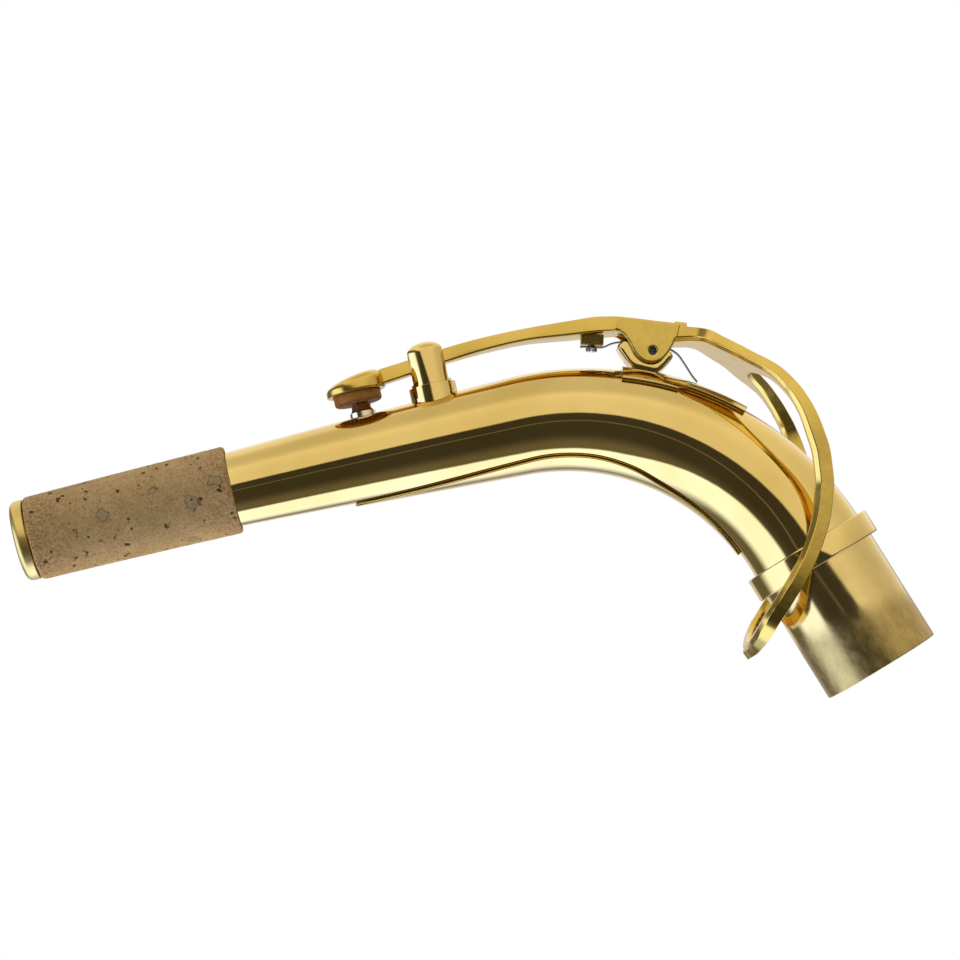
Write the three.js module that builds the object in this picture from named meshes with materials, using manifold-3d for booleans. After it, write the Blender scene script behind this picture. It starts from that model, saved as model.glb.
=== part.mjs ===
// Alto saxophone neck with its octave key, in millimetres, +Z up.
// The origin is the centre of the shoulder under the collar, where the neck seats on the instrument.
// The tenon points down -Z, the mouthpiece end rises towards -X, and the neck is symmetric about Y = 0.
import * as THREE from 'three';
import { mergeVertices } from 'three/addons/utils/BufferGeometryUtils.js';
import Module from 'manifold-3d';

const wasm = await Module();
wasm.setup();

// Clearances and cutting allowances
const seat = 0.3; // between soldered or pressed pieces that follow each other's curves
const flatSeat = 0.15; // between flat or coaxial faces that bear on each other
const slideGap = 0.4; // between the moving key and what it slides past
const overrun = 1; // how far a cutter passes the face it opens
const weldDistance = 0.0001; // points closer than this are one corner

// Numbers of facets
const roundSides = 28;
const smallSides = 16;
const bendSteps = 12;
const reachSteps = 6;
const bandSteps = 8;
const braceSteps = 24;
const ringSteps = 56;
const armStepsPerRow = 3;
const springSteps = 26;
const domeSteps = 5;

const tenon = { outerRadius: 12.2, wall: 0.7, length: 23.4, rimChamfer: 0.25 };
const collar = { wall: 1.15, height: 4.8, chamfer: 0.4 };

const bendTurn = THREE.MathUtils.degToRad(71);
const reachTurn = THREE.MathUtils.degToRad(2);
const tube = {
  bendRadius: 53.5,
  reachLength: 101.7,
  baseRadius: 11.9,
  corkEndRadius: 7.5,
  tipRadius: 6.6,
  wall: 0.7,
};

const cork = { length: 41, innerEndRadius: 8.9, tipEndRadius: 8.4 };
const endRing = { outerRadius: 8.1, noseRadius: 1.4, noseSteps: 4, lip: 0.9, gripLength: 1.6 };

// Stations are lengths along the neck's centreline, from the top of the collar
const pipStation = 96.5;
const guideStation = 81.8;
const hingeStation = 42.9;

const pip = {
  topRadius: 1.7, flangeRadius: 2.6, flangeHeight: 0.8, height: 2.3,
  stemRadius: 1.5, boreRadius: 0.8, innerReach: 1.2,
};
const pad = { radius: 4.9, thickness: 2.6, edgeRound: 0.7 };
const cup = { radius: 5.7, rimDepth: 0.5, sideHeight: 1, domeHeight: 2.5 };
const guide = {
  postRadius: 4.1, postHeight: 11.4, domeHeight: 2.2,
  footRadius: 4.75, footHeight: 2.3, spigotRadius: 2.2, slotBelowArm: 2.9,
};

// The arm's lift is the height of its middle over the tube
const arm = { lift: 7.6, depth: 2.5, width: 5.2, edge: 0.35 };
// Share of the way from the hood to the pad cup, then lift, depth and width as shares of the arm's own
const armShares = [
  [0.05, 1.13, 1.1, 1.52],
  [0.14, 1.04, 1.14, 1.34],
  [0.32, 1.01, 0.92, 1.12],
  [0.51, 1.02, 0.96, 0.92],
  [0.67, 0.99, 1.02, 0.68],
  [0.79, 0.95, 1.04, 0.63],
  [0.91, 0.89, 0.98, 0.58],
  [1.0, 0.86, 0.9, 0.54],
];

// The hinge frame stands at the pivot: its x runs towards the tenon and its z away from the tube
const hinge = {
  lift: 4.17, barrelRadius: 1.6, rodRadius: 0.75, stemRadius: 1.45,
  sunk: 0.5, slotWidth: 0.3, slotDepth: 0.3,
};
const hood = { width: 10, armWidth: 8.4, cheek: 1.2, roof: 2.4, length: 12.5, crown: 6.2 };
// Places along the hood as shares of its length from the pivot, and over the pivot as shares of its crown
const hoodTopShares = [[-0.66, 0.84], [-0.39, 0.87], [-0.06, 0.94], [0.22, 1.0], [0.34, 1.0]];
const cheekShares = [
  [0.34, 0.6], [0.31, 0.5], [0.28, 0.23], [0.22, -0.07], [0.14, -0.27], [0.03, -0.38], [-0.08, -0.39],
  [-0.167, -0.33], [-0.27, -0.18], [-0.384, 0.12], [-0.506, 0.34], [-0.66, 0.43],
];
const hoodFlareShare = -0.3;

const saddle = { thickness: 0.5, halfWidth: 7.8 };
// Station as a share of the hinge's station, and half-width as a share of the plate's
const saddleShares = [
  [1.1, 1.0], [1.04, 1.0], [0.98, 1.0], [0.92, 1.0], [0.87, 1.0], [0.835, 0.8],
  [0.77, 0.8], [0.7, 0.8], [0.64, 0.8], [0.59, 0.8],
];
// Lips and floors reach from the pivot towards the arm or the tenon
const cradle = {
  width: 7, armLip: 6.8, tenonLip: 3.9, armFloor: 3.9, tenonFloor: 1.8,
  lipWidth: 1.3, lipHeight: 1.4, top: 0.9, hollowRadius: 2.5,
};

const brace = { thickness: 0.55, halfWidth: 6.3, start: 7, end: 102 };
// Share of the way along the brace, and half-width as a share of its own
const braceShares = [
  [0, 0.08], [0.09, 0.22], [0.18, 0.34], [0.27, 0.52], [0.37, 0.86], [0.47, 1.0],
  [0.56, 0.98], [0.67, 0.83], [0.78, 0.6], [0.89, 0.33], [1, 0.08],
];

const boss = { station: 52.4, length: 4.6, width: 4, depth: 1.8 };
const springScrew = {
  headRadius: 1.15, headHeight: 0.7, shankRadius: 0.5, reach: 1.2, slotWidth: 0.35, slotDepth: 0.3,
};
const spring = { width: 2, thickness: 0.25, restStation: 34.5 };
// Places of the spring in the hinge frame, as shares of the barrel's radius
const springShares = [
  [-4.9, 0.25], [-3.1, 0.98], [-1.3, 1.34], [0, 1.42], [1.2, 1.36], [2.5, 1.06], [3.3, 0.7],
  [4.4, -0.3], [5.5, -1.42],
];

const keyRing = { lift: 10.8, barWidth: 3, clearance: 0.55, thickness: 3, bevelShare: 0.4 };
// Station as a share of the hinge's station, and outer face over the tube as a share of the ring's lift
const ringProfileShares = [
  [0.844, 1.015], [0.781, 0.959], [0.725, 0.915], [0.669, 0.863], [0.613, 0.838], [0.56, 0.804],
  [0.486, 0.694], [0.421, 0.564], [0.364, 0.427], [0.309, 0.279], [0.256, 0.134], [0.206, -0.038],
  [0.149, -0.233], [0.114, -0.384], [0.065, -0.585], [0.022, -0.772], [-0.017, -0.959],
  [-0.056, -1.154], [-0.094, -1.362], [-0.123, -1.553], [-0.156, -1.784], [-0.182, -1.995],
  [-0.213, -2.235], [-0.24, -2.465], [-0.269, -2.673], [-0.292, -2.845], [-0.307, -2.99], [-0.31, -3.14],
];
// Share of the way along the ring's profile, and thickness as a share of the ring's
const ringThicknessShares = [
  [0, 0.78], [0.06, 0.86], [0.16, 0.78], [0.25, 0.78], [0.35, 0.95], [0.42, 1.12], [0.5, 1.16],
  [0.62, 1.16], [0.7, 1.1], [0.8, 1.1], [0.9, 1.08], [0.95, 1], [1, 0.8],
];
// The root: share of the way along, and half-width as a share of the ring's
const ringRootShares = [
  [0, 0.28], [0.043, 0.35], [0.088, 0.46], [0.128, 0.53], [0.168, 0.64], [0.188, 0.695],
];
// The loop from the crotch round to its end: places along and across, outside and then inside
const loopShares = [
  [0.13, 0, 0.192, 0], [0.15, 0.36, 0.202, 0.22], [0.188, 0.695, 0.226, 0.45], [0.24, 0.81, 0.264, 0.66],
  [0.297, 0.9, 0.312, 0.83], [0.345, 0.965, 0.364, 0.95], [0.43, 1, 0.43, 1], [0.52, 1, 0.52, 1],
  [0.61, 1, 0.61, 1], [0.7, 1, 0.7, 1], [0.78, 1, 0.78, 1], [0.85, 0.985, 0.845, 0.98],
  [0.9, 0.93, 0.888, 0.91], [0.94, 0.79, 0.92, 0.74], [0.97, 0.5, 0.942, 0.46], [0.99, 0.24, 0.955, 0.22],
  [1, 0, 0.96, 0],
];

// Sizes that follow from the ones above
const bendLength = tube.bendRadius * bendTurn;
const tubeLength = bendLength + tube.reachLength;
const corkTip = tubeLength - endRing.gripLength - seat;
const corkStart = corkTip - cork.length;
const jointHeight = collar.height / 2;
const collarBore = Math.max(tenon.outerRadius, tube.baseRadius) + seat;
const collarRadius = collarBore + collar.wall;
const ringInnerHalfWidth = collarRadius + keyRing.clearance;
const ringHalfWidth = ringInnerHalfWidth + keyRing.barWidth;
const padBottom = pip.height + seat;
const padTop = padBottom + pad.thickness;
const cupRim = padTop - cup.rimDepth;
const barrelHalf = hood.width / 2 - hood.cheek - slideGap;
const plateTop = seat + saddle.thickness;
const cradleFloor = plateTop + seat - hinge.lift;
const hoodArmEnd = hoodTopShares[0][0] * hood.length;
const hoodRingEnd = hoodTopShares[hoodTopShares.length - 1][0] * hood.length;
const hoodEndDepth = (hoodTopShares[0][1] - cheekShares[cheekShares.length - 1][1]) * hood.crown;
const armRootStation = hingeStation - hoodArmEnd * hingeStation / (hingeStation + arm.lift);
const armEndStation = pipStation - cup.radius - seat;

// Colours and finishes
const lacquer = { color: 0xc9a24a, roughness: 0.18, metalness: 1 };
const finishes = {
  lacquer,
  tenonBrass: { color: 0xbfa45c, roughness: 0.32, metalness: 1 },
  cork: { color: 0x9a7850, roughness: 0.9, metalness: 0 },
  nickel: { color: 0xc9c4b8, roughness: 0.2, metalness: 1 },
  leather: { color: 0x8c4f26, roughness: 0.6, metalness: 0 },
  blueSteel: { color: 0x39414f, roughness: 0.3, metalness: 1 },
  screwSteel: { color: 0x8e9096, roughness: 0.25, metalness: 1 },
};

const neck = new THREE.Group();

/** Adds a named piece made of one closed geometry. */
function addPiece(name, geometry, finish) {
  const mesh = new THREE.Mesh(geometry, new THREE.MeshStandardMaterial(finish));
  mesh.name = name;
  neck.add(mesh);
}

/** Reads a table of shares at a place, straight between its rows. */
function readShares(table, place, column = 1) {
  const last = table.length - 1;
  if (place <= table[0][0]) {
    return table[0][column];
  }
  for (let i = 0; i < last; i += 1) {
    const [from, to] = [table[i], table[i + 1]];
    if (place <= to[0]) {
      return THREE.MathUtils.mapLinear(place, from[0], to[0], from[column], to[column]);
    }
  }
  return table[last][column];
}

/** Radius of the tube's outside at a station. */
function tubeRadius(station) {
  if (station <= 0) {
    return tube.baseRadius;
  }
  if (station <= corkStart) {
    return THREE.MathUtils.mapLinear(station, 0, corkStart, tube.baseRadius, tube.corkEndRadius);
  }
  return THREE.MathUtils.mapLinear(station, corkStart, tubeLength, tube.corkEndRadius, tube.tipRadius);
}

/** Centre, direction and outward normal of the neck at a station. */
function neckAt(station) {
  const outward = (turn) => new THREE.Vector3(Math.cos(turn), 0, Math.sin(turn));
  const base = new THREE.Vector3(0, 0, collar.height);
  const bendCentre = base.clone().addScaledVector(outward(0), -tube.bendRadius);
  let turn = THREE.MathUtils.clamp(station / tube.bendRadius, 0, bendTurn);
  const centre = bendCentre.clone().addScaledVector(outward(turn), tube.bendRadius);
  if (station < 0) {
    centre.z += station;
  }
  if (station > bendLength) {
    const reachRadius = tube.reachLength / reachTurn;
    turn += (station - bendLength) / reachRadius;
    centre.addScaledVector(outward(bendTurn), -reachRadius);
    centre.addScaledVector(outward(turn), reachRadius);
  }
  const normal = outward(turn);
  const direction = new THREE.Vector3(-normal.z, 0, normal.x);
  return { centre, normal, direction };
}

/** A point over the top of the tube, in the neck's plane of symmetry. */
function overTube(station, lift) {
  const { centre, normal } = neckAt(station);
  return centre.addScaledVector(normal, tubeRadius(station) + lift);
}

/** Frame that stands on the tube: x towards the tenon, y across, z away from the tube. */
function standingFrame(station, lift) {
  const { normal, direction } = neckAt(station);
  const frame = new THREE.Matrix4();
  frame.makeBasis(direction.negate(), new THREE.Vector3(0, 1, 0), normal);
  return frame.setPosition(overTube(station, lift));
}

/** Ring of points round the neck's centreline. */
function roundRing(station, radius) {
  const { centre, normal } = neckAt(station);
  const across = new THREE.Vector3(0, 1, 0);
  return Array.from({ length: roundSides }, (_, i) => {
    const angle = (2 * Math.PI * i) / roundSides;
    const point = centre.clone().addScaledVector(normal, radius * Math.cos(angle));
    return point.addScaledVector(across, radius * Math.sin(angle));
  });
}

/** Turns a geometry into one with shared corners, whose faces point out. */
function closed(geometry) {
  const bare = new THREE.BufferGeometry();
  bare.setAttribute('position', geometry.attributes.position);
  bare.setIndex(geometry.index);
  const merged = mergeVertices(bare, weldDistance);
  const corners = merged.attributes.position;
  const order = Array.from(merged.index.array);
  const [a, b, c] = [new THREE.Vector3(), new THREE.Vector3(), new THREE.Vector3()];
  let volume = 0;
  for (let i = 0; i < order.length; i += 3) {
    a.fromBufferAttribute(corners, order[i]);
    b.fromBufferAttribute(corners, order[i + 1]);
    c.fromBufferAttribute(corners, order[i + 2]);
    volume += a.dot(b.cross(c));
  }
  if (volume < 0) {
    order.reverse();
  }
  merged.setIndex(order);
  return merged;
}

/** Geometry from points and triangles of point numbers. */
function fromTriangles(points, triangles) {
  const geometry = new THREE.BufferGeometry().setFromPoints(points);
  geometry.setIndex(triangles);
  return closed(geometry);
}

/** Solid through rings of points: end to end, or with a flat fan over each end. */
function loft(rings, endToEnd) {
  const sides = rings[0].length;
  const points = rings.flat();
  const triangles = [];
  const spans = endToEnd ? rings.length : rings.length - 1;
  for (let i = 0; i < spans; i += 1) {
    const next = (i + 1) % rings.length;
    for (let j = 0; j < sides; j += 1) {
      const k = (j + 1) % sides;
      const [a, b, c, d] = [i * sides + j, i * sides + k, next * sides + k, next * sides + j];
      triangles.push(a, b, c, a, c, d);
    }
  }
  if (!endToEnd) {
    const ends = [[rings[0], 0, true], [rings[rings.length - 1], (rings.length - 1) * sides, false]];
    for (const [ring, first, flipped] of ends) {
      const middle = ring.reduce((sum, point) => sum.add(point), new THREE.Vector3());
      points.push(middle.divideScalar(sides));
      for (let j = 0; j < sides; j += 1) {
        const pair = [first + j, first + ((j + 1) % sides)];
        if (flipped) {
          pair.reverse();
        }
        triangles.push(pair[0], pair[1], points.length - 1);
      }
    }
  }
  return fromTriangles(points, triangles);
}

/** Plate between two grids of points with the same rows and columns. */
function plate(inner, outer) {
  const rows = inner.length;
  const columns = inner[0].length;
  const points = [...inner.flat(), ...outer.flat()];
  const outside = rows * columns;
  const triangles = [];
  const quad = (a, b, c, d) => triangles.push(a, b, c, a, c, d);
  const at = (row, column) => row * columns + column;
  for (let i = 0; i < rows - 1; i += 1) {
    for (let j = 0; j < columns - 1; j += 1) {
      const face = [at(i, j), at(i, j + 1), at(i + 1, j + 1), at(i + 1, j)];
      quad(face[3], face[2], face[1], face[0]);
      quad(...face.map((corner) => corner + outside));
    }
    const [low, high] = [[at(i, 0), at(i + 1, 0)], [at(i, columns - 1), at(i + 1, columns - 1)]];
    quad(low[0], low[0] + outside, low[1] + outside, low[1]);
    quad(high[1], high[1] + outside, high[0] + outside, high[0]);
  }
  for (let j = 0; j < columns - 1; j += 1) {
    const [first, last] = [[at(0, j), at(0, j + 1)], [at(rows - 1, j), at(rows - 1, j + 1)]];
    quad(first[1], first[1] + outside, first[0] + outside, first[0]);
    quad(last[0], last[0] + outside, last[1] + outside, last[1]);
  }
  return fromTriangles(points, triangles);
}

/** Turned solid from a closed profile of [radius, height] pairs, standing along z. */
function turned(profile, sides = roundSides) {
  const points = [...profile, profile[0]].map(([radius, height]) => new THREE.Vector2(radius, height));
  return closed(new THREE.LatheGeometry(points, sides).rotateX(Math.PI / 2));
}

/** Upright cylinder between two heights. */
function upright(radius, low, high, sides = smallSides) {
  return turned([[0, low], [radius, low], [radius, high], [0, high]], sides);
}

/** Solid with a side outline of [x, z] pairs, centred across y. */
function slab(outline, width, middle = 0) {
  const shape = new THREE.Shape(outline.map(([x, z]) => new THREE.Vector2(x, z)));
  const geometry = new THREE.ExtrudeGeometry(shape, { depth: width, bevelEnabled: false });
  return closed(geometry.rotateX(Math.PI / 2).translate(0, middle + width / 2, 0));
}

/** Cylinder across y, centred on the frame's axis at a place. */
function crosswise(radius, width, middle = 0) {
  return upright(radius, -width / 2, width / 2).rotateX(Math.PI / 2).translate(0, middle, 0);
}

/** Rectangular block from its centre and sizes. */
function block(centre, sizes) {
  return closed(new THREE.BoxGeometry(...sizes).translate(...centre));
}

/** Solid that can be joined and cut. */
function solid(geometry) {
  const merged = closed(geometry);
  const vertProperties = new Float32Array(merged.attributes.position.array);
  const triVerts = new Uint32Array(merged.index.array);
  return new wasm.Manifold(new wasm.Mesh({ numProp: 3, vertProperties, triVerts }));
}

/** Geometry of a joined or cut solid. */
function shapeOf(body) {
  const mesh = body.getMesh();
  const geometry = new THREE.BufferGeometry();
  geometry.setAttribute('position', new THREE.BufferAttribute(mesh.vertProperties, 3));
  geometry.setIndex(Array.from(mesh.triVerts));
  return geometry;
}

/** Solid of the neck's outside between two stations, grown by a clearance. */
function neckCore(from, to, clearance) {
  const steps = bendSteps;
  const rings = Array.from({ length: steps + 1 }, (_, i) => {
    const station = THREE.MathUtils.lerp(from, to, i / steps);
    return roundRing(station, tubeRadius(station) + clearance);
  });
  return solid(loft(rings, false));
}

/** Puts a geometry made in a standing frame where it belongs on the neck. */
function stood(geometry, station, lift = 0) {
  return geometry.applyMatrix4(standingFrame(station, lift));
}

/** Cuts what reaches into the tube off a piece that stands on it. */
function scribed(geometry, station, reach, clearance = seat) {
  return solid(geometry).subtract(neckCore(station - reach, station + reach, clearance));
}

/** The bent and tapered tube, open at both ends, with the hole for the pip. */
function neckTube() {
  const bend = Array.from({ length: bendSteps + 1 }, (_, i) => (bendLength * i) / bendSteps);
  const reach = Array.from({ length: reachSteps }, (_, i) => (
    THREE.MathUtils.lerp(bendLength, corkStart, (i + 1) / reachSteps)
  ));
  const stations = [jointHeight + flatSeat - collar.height, ...bend, ...reach, tubeLength];
  const outside = stations.map((station) => roundRing(station, tubeRadius(station)));
  const inside = stations.map((station) => roundRing(station, tubeRadius(station) - tube.wall));
  const hole = upright(pip.stemRadius + flatSeat, -tube.wall - pip.innerReach, overrun);
  const wall = solid(loft([...outside, ...inside.reverse()], true));
  return shapeOf(wall.subtract(solid(stood(hole, pipStation))));
}

/** The sleeve that slides into the instrument. */
function tenonSleeve() {
  const { outerRadius, length, rimChamfer } = tenon;
  const bore = outerRadius - tenon.wall;
  const top = jointHeight - flatSeat;
  return turned([
    [bore, -length], [outerRadius - rimChamfer, -length], [outerRadius, rimChamfer - length],
    [outerRadius, top], [bore, top],
  ]);
}

/** The collar that joins the tube to the tenon and seats on the instrument. */
function collarRing() {
  const { height, chamfer } = collar;
  return turned([
    [collarBore, 0], [collarRadius, 0], [collarRadius, height - chamfer],
    [collarRadius - chamfer, height], [collarBore, height],
  ]);
}

/** The ring that finishes the mouthpiece end of the tube. */
function tipRing() {
  const { outerRadius, noseRadius, lip, gripLength, noseSteps } = endRing;
  const bore = tube.tipRadius - tube.wall;
  const grip = tubeRadius(corkTip) + seat;
  const front = lip + flatSeat;
  const nose = Array.from({ length: noseSteps + 1 }, (_, i) => {
    const angle = (Math.PI / 2) * (i / noseSteps);
    const inset = noseRadius * (1 - Math.cos(angle));
    return [outerRadius - inset, front - noseRadius * (1 - Math.sin(angle))];
  });
  const ring = turned([
    [grip, -gripLength], [outerRadius, -gripLength], ...nose, [bore, front],
    [bore, flatSeat], [grip, flatSeat],
  ]);
  const { centre, normal, direction } = neckAt(tubeLength);
  const frame = new THREE.Matrix4().makeBasis(normal, new THREE.Vector3(0, 1, 0), direction);
  return ring.applyMatrix4(frame.setPosition(centre));
}

/** The cork sleeve that the mouthpiece is pushed over. */
function corkSleeve() {
  const places = [0, 0.25, 0.5, 0.75, 1].map((share) => THREE.MathUtils.lerp(corkStart, corkTip, share));
  const outer = (station) => THREE.MathUtils.mapLinear(
    station, corkStart, corkTip, cork.innerEndRadius, cork.tipEndRadius,
  );
  const outside = places.map((station) => roundRing(station, outer(station)));
  const inside = places.map((station) => roundRing(station, tubeRadius(station) + seat));
  return loft([...outside, ...inside.reverse()], true);
}

/** The small vent tube that the octave pad covers. */
function octavePip() {
  const { topRadius, flangeRadius, flangeHeight, height, stemRadius, boreRadius, innerReach } = pip;
  const outside = turned([
    [0, -stemRadius], [flangeRadius, -stemRadius], [flangeRadius, flangeHeight],
    [topRadius, height], [0, height],
  ], smallSides);
  const bottom = -tube.wall - innerReach;
  const stem = upright(stemRadius, bottom, flangeHeight);
  const bore = upright(boreRadius, bottom - overrun, height + overrun);
  const above = scribed(stood(outside, pipStation), pipStation, 2 * flangeRadius);
  return shapeOf(above.add(solid(stood(stem, pipStation))).subtract(solid(stood(bore, pipStation))));
}

/** Lift, depth and width of the arm at a station. */
function armAt(station) {
  const along = THREE.MathUtils.inverseLerp(armRootStation, armEndStation, station);
  const [lift, depth, width] = [1, 2, 3].map((column) => readShares(armShares, along, column));
  return { lift: lift * arm.lift, depth: depth * arm.depth, width: width * arm.width };
}

/** The slotted post that keeps the arm in line. */
function guidePost() {
  const { postRadius, postHeight, domeHeight, footHeight, spigotRadius, slotBelowArm } = guide;
  const side = postHeight - domeHeight;
  const dome = Array.from({ length: domeSteps + 1 }, (_, i) => {
    const angle = (Math.PI / 2) * (i / domeSteps);
    return [postRadius * Math.cos(angle), side + domeHeight * Math.sin(angle)];
  });
  const foot = footHeight + flatSeat;
  const post = turned([[0, -spigotRadius], [spigotRadius, -spigotRadius], [spigotRadius, foot],
    [postRadius, foot], ...dome], roundSides);
  const { lift, depth, width } = armAt(guideStation);
  const floor = lift - depth / 2 - slotBelowArm;
  const slotHeight = postHeight + overrun - floor;
  const slot = block([0, 0, floor + slotHeight / 2], [4 * postRadius, width + 2 * slideGap, slotHeight]);
  const body = scribed(stood(post, guideStation), guideStation, 2 * postRadius);
  return shapeOf(body.subtract(solid(stood(slot, guideStation))));
}

/** The flanged foot that the guide post is set into. */
function guideFoot() {
  const { footRadius, footHeight, spigotRadius } = guide;
  const foot = upright(footRadius, -footRadius, footHeight, roundSides);
  const hole = upright(spigotRadius + flatSeat, -footRadius - overrun, footHeight + overrun, roundSides);
  const body = scribed(stood(foot, guideStation), guideStation, 2 * footRadius);
  return shapeOf(body.subtract(solid(stood(hole, guideStation))));
}

/** Strip that lies along the tube, with its half-width given at each of its stations. */
function strip(rows, side, clearance, thickness) {
  const layer = (offset) => rows.map(([station, halfWidth]) => {
    const { centre, normal } = neckAt(station);
    const radius = tubeRadius(station) + clearance;
    const half = Math.asin(Math.min(halfWidth / (radius + thickness), 1));
    return Array.from({ length: bandSteps + 1 }, (_, j) => {
      const angle = half * ((2 * j) / bandSteps - 1);
      const point = centre.clone().addScaledVector(normal, side * (radius + offset) * Math.cos(angle));
      point.y += (radius + offset) * Math.sin(angle);
      return point;
    });
  });
  return plate(layer(0), layer(thickness));
}

/** The curved plate under the hinge, with the tongue that the spring bears on. */
function saddlePlate() {
  const rows = saddleShares.map(([along, across]) => [along * hingeStation, across * saddle.halfWidth]);
  return strip(rows, 1, seat, saddle.thickness);
}

/** The long pointed plate under the bend. */
function undersideBrace() {
  const rows = Array.from({ length: braceSteps + 1 }, (_, i) => [
    THREE.MathUtils.lerp(brace.start, brace.end, i / braceSteps),
    readShares(braceShares, i / braceSteps) * brace.halfWidth,
  ]);
  return strip(rows, -1, flatSeat, brace.thickness);
}

/** The block that cradles the barrel, with a lip on each side, hollowed for it and holed for the stem. */
function saddleCradle() {
  const { width, armLip, tenonLip, armFloor, tenonFloor, lipWidth, lipHeight, top, hollowRadius } = cradle;
  const outline = [
    [-armLip, top - lipHeight], [-armFloor, cradleFloor], [tenonFloor, cradleFloor], [tenonLip, top],
    [tenonLip - lipWidth, top], [lipWidth - armLip, top],
  ];
  const hole = upright(hinge.stemRadius + flatSeat, -hinge.lift, top, roundSides);
  const hollow = crosswise(hollowRadius, width + 2 * overrun);
  const cut = solid(slab(outline, width)).subtract(solid(hole)).subtract(solid(hollow));
  const placed = stood(shapeOf(cut), hingeStation, hinge.lift);
  return shapeOf(scribed(placed, hingeStation, 2 * armLip, plateTop + seat));
}

/** The stem and the cross barrel that the key turns on. */
function hingePost() {
  const barrel = crosswise(hinge.barrelRadius, 2 * barrelHalf);
  const stem = upright(hinge.stemRadius, -hinge.lift, -hinge.rodRadius, roundSides);
  const bore = crosswise(hinge.rodRadius + flatSeat, 2 * barrelHalf + 2 * overrun);
  const post = shapeOf(solid(barrel).add(solid(stem)).subtract(solid(bore)));
  const placed = stood(post, hingeStation, hinge.lift);
  return shapeOf(scribed(placed, hingeStation, 2 * hinge.lift, plateTop + seat));
}

/** Section of a bar square to its run, with its long edges broken where an edge is given. */
function barSection(centre, run, depth, width, edge) {
  const rise = new THREE.Vector3(run.z, 0, -run.x).normalize();
  const quarter = [[-width / 2, edge - depth / 2], [edge - width / 2, -depth / 2]];
  const corners = (edge > 0 ? quarter : quarter.slice(0, 1));
  const mirrored = corners.map(([across, up]) => [-across, up]).reverse();
  const lower = [...corners, ...mirrored];
  const upper = lower.map(([across, up]) => [across, -up]).reverse();
  return [...lower, ...upper].map(([across, up]) => {
    const point = centre.clone().addScaledVector(rise, up);
    point.y += across;
    return point;
  });
}

/** Point given in the hinge frame, in the plane of symmetry. */
function nearHinge(along, up) {
  return new THREE.Vector3(along, 0, up).applyMatrix4(standingFrame(hingeStation, hinge.lift));
}

/** The bar that runs from the hood to the pad cup. */
function keyArm() {
  const hoodEndMiddle = hoodTopShares[0][1] * hood.crown - hoodEndDepth / 2;
  const rows = armShares.map(([along, lift, depth, width]) => ({
    centre: overTube(THREE.MathUtils.lerp(armRootStation, armEndStation, along), lift * arm.lift),
    size: new THREE.Vector3(depth * arm.depth, width * arm.width, 0),
  }));
  rows.unshift({
    centre: nearHinge(hoodArmEnd - seat, hoodEndMiddle),
    size: new THREE.Vector3(hoodEndDepth, hood.armWidth, 0),
  });
  const route = new THREE.CatmullRomCurve3(rows.map((row) => row.centre), false, 'centripetal');
  const sizes = new THREE.CatmullRomCurve3(rows.map((row) => row.size), false, 'centripetal');
  const steps = armStepsPerRow * (rows.length - 1);
  const fromHood = nearHinge(-1, 0).sub(nearHinge(0, 0));
  const first = barSection(rows[0].centre, fromHood, hoodEndDepth, hood.armWidth, arm.edge);
  const sections = Array.from({ length: steps }, (_, i) => {
    const share = (i + 1) / steps;
    const size = sizes.getPoint(share);
    return barSection(route.getPoint(share), route.getTangent(share), size.x, size.y, arm.edge);
  });
  return loft([first, ...sections], false);
}

/** The hood over the hinge, with a cheek down each side of the barrel. */
function keyHood() {
  const sideShares = [...hoodTopShares, ...cheekShares];
  const side = sideShares.map(([along, up]) => [along * hood.length, up * hood.crown]);
  const flare = hood.length * hoodFlareShare;
  const [narrow, wide] = [hood.armWidth / 2, hood.width / 2];
  const plan = new THREE.Shape([
    [hoodArmEnd, -narrow], [flare, -wide], [hoodRingEnd, -wide],
    [hoodRingEnd, wide], [flare, wide], [hoodArmEnd, narrow],
  ].map(([x, y]) => new THREE.Vector2(x, y)));
  const tall = 2 * (hood.crown + hood.length);
  const column = closed(new THREE.ExtrudeGeometry(plan, { depth: tall, bevelEnabled: false }));
  const ceiling = hoodTopShares[0][1] * hood.crown - hood.roof;
  const channelWidth = hood.width - 2 * hood.cheek;
  const channel = block([0, 0, ceiling - hood.crown], [2 * hood.length, channelWidth, 2 * hood.crown]);
  const rodHole = crosswise(hinge.rodRadius + flatSeat, hood.width + 2 * overrun);
  const body = solid(slab(side, hood.width)).intersect(solid(column.translate(0, 0, -tall / 2)));
  const cut = shapeOf(body.subtract(solid(channel)).subtract(solid(rodHole)));
  return stood(cut, hingeStation, hinge.lift);
}

/** Places on the key ring: how far along its profile, across, and down from its outer face. */
function ringPlaces() {
  const points = ringProfileShares.map(([along, lift]) => (
    overTube(along * hingeStation, lift * keyRing.lift)
  ));
  points.unshift(nearHinge(hoodRingEnd + seat, hood.crown));
  const curve = new THREE.CatmullRomCurve3(points, false, 'centripetal');
  return (along, across, depthShare) => {
    const run = curve.getTangentAt(along);
    const thickness = readShares(ringThicknessShares, along) * keyRing.thickness;
    const inward = new THREE.Vector3(run.z, 0, -run.x).multiplyScalar(depthShare * thickness);
    const point = curve.getPointAt(along).add(inward);
    point.y = across;
    return point;
  };
}

/** Section of the ring between two places in its flattened outline, bevelled on the tube's side. */
function ringSection(place, from, to) {
  const { bevelShare } = keyRing;
  const corner = (share, depthShare) => {
    const spot = from.clone().lerp(to, share);
    return place(THREE.MathUtils.clamp(spot.x, 0, 1), spot.y, depthShare);
  };
  const cut = Math.min(bevelShare * keyRing.barWidth / from.distanceTo(to), bevelShare);
  return [
    corner(0, 0), corner(0, 1 - bevelShare), corner(cut, 1),
    corner(1 - cut, 1), corner(1, 1 - bevelShare), corner(1, 0),
  ];
}

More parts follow.
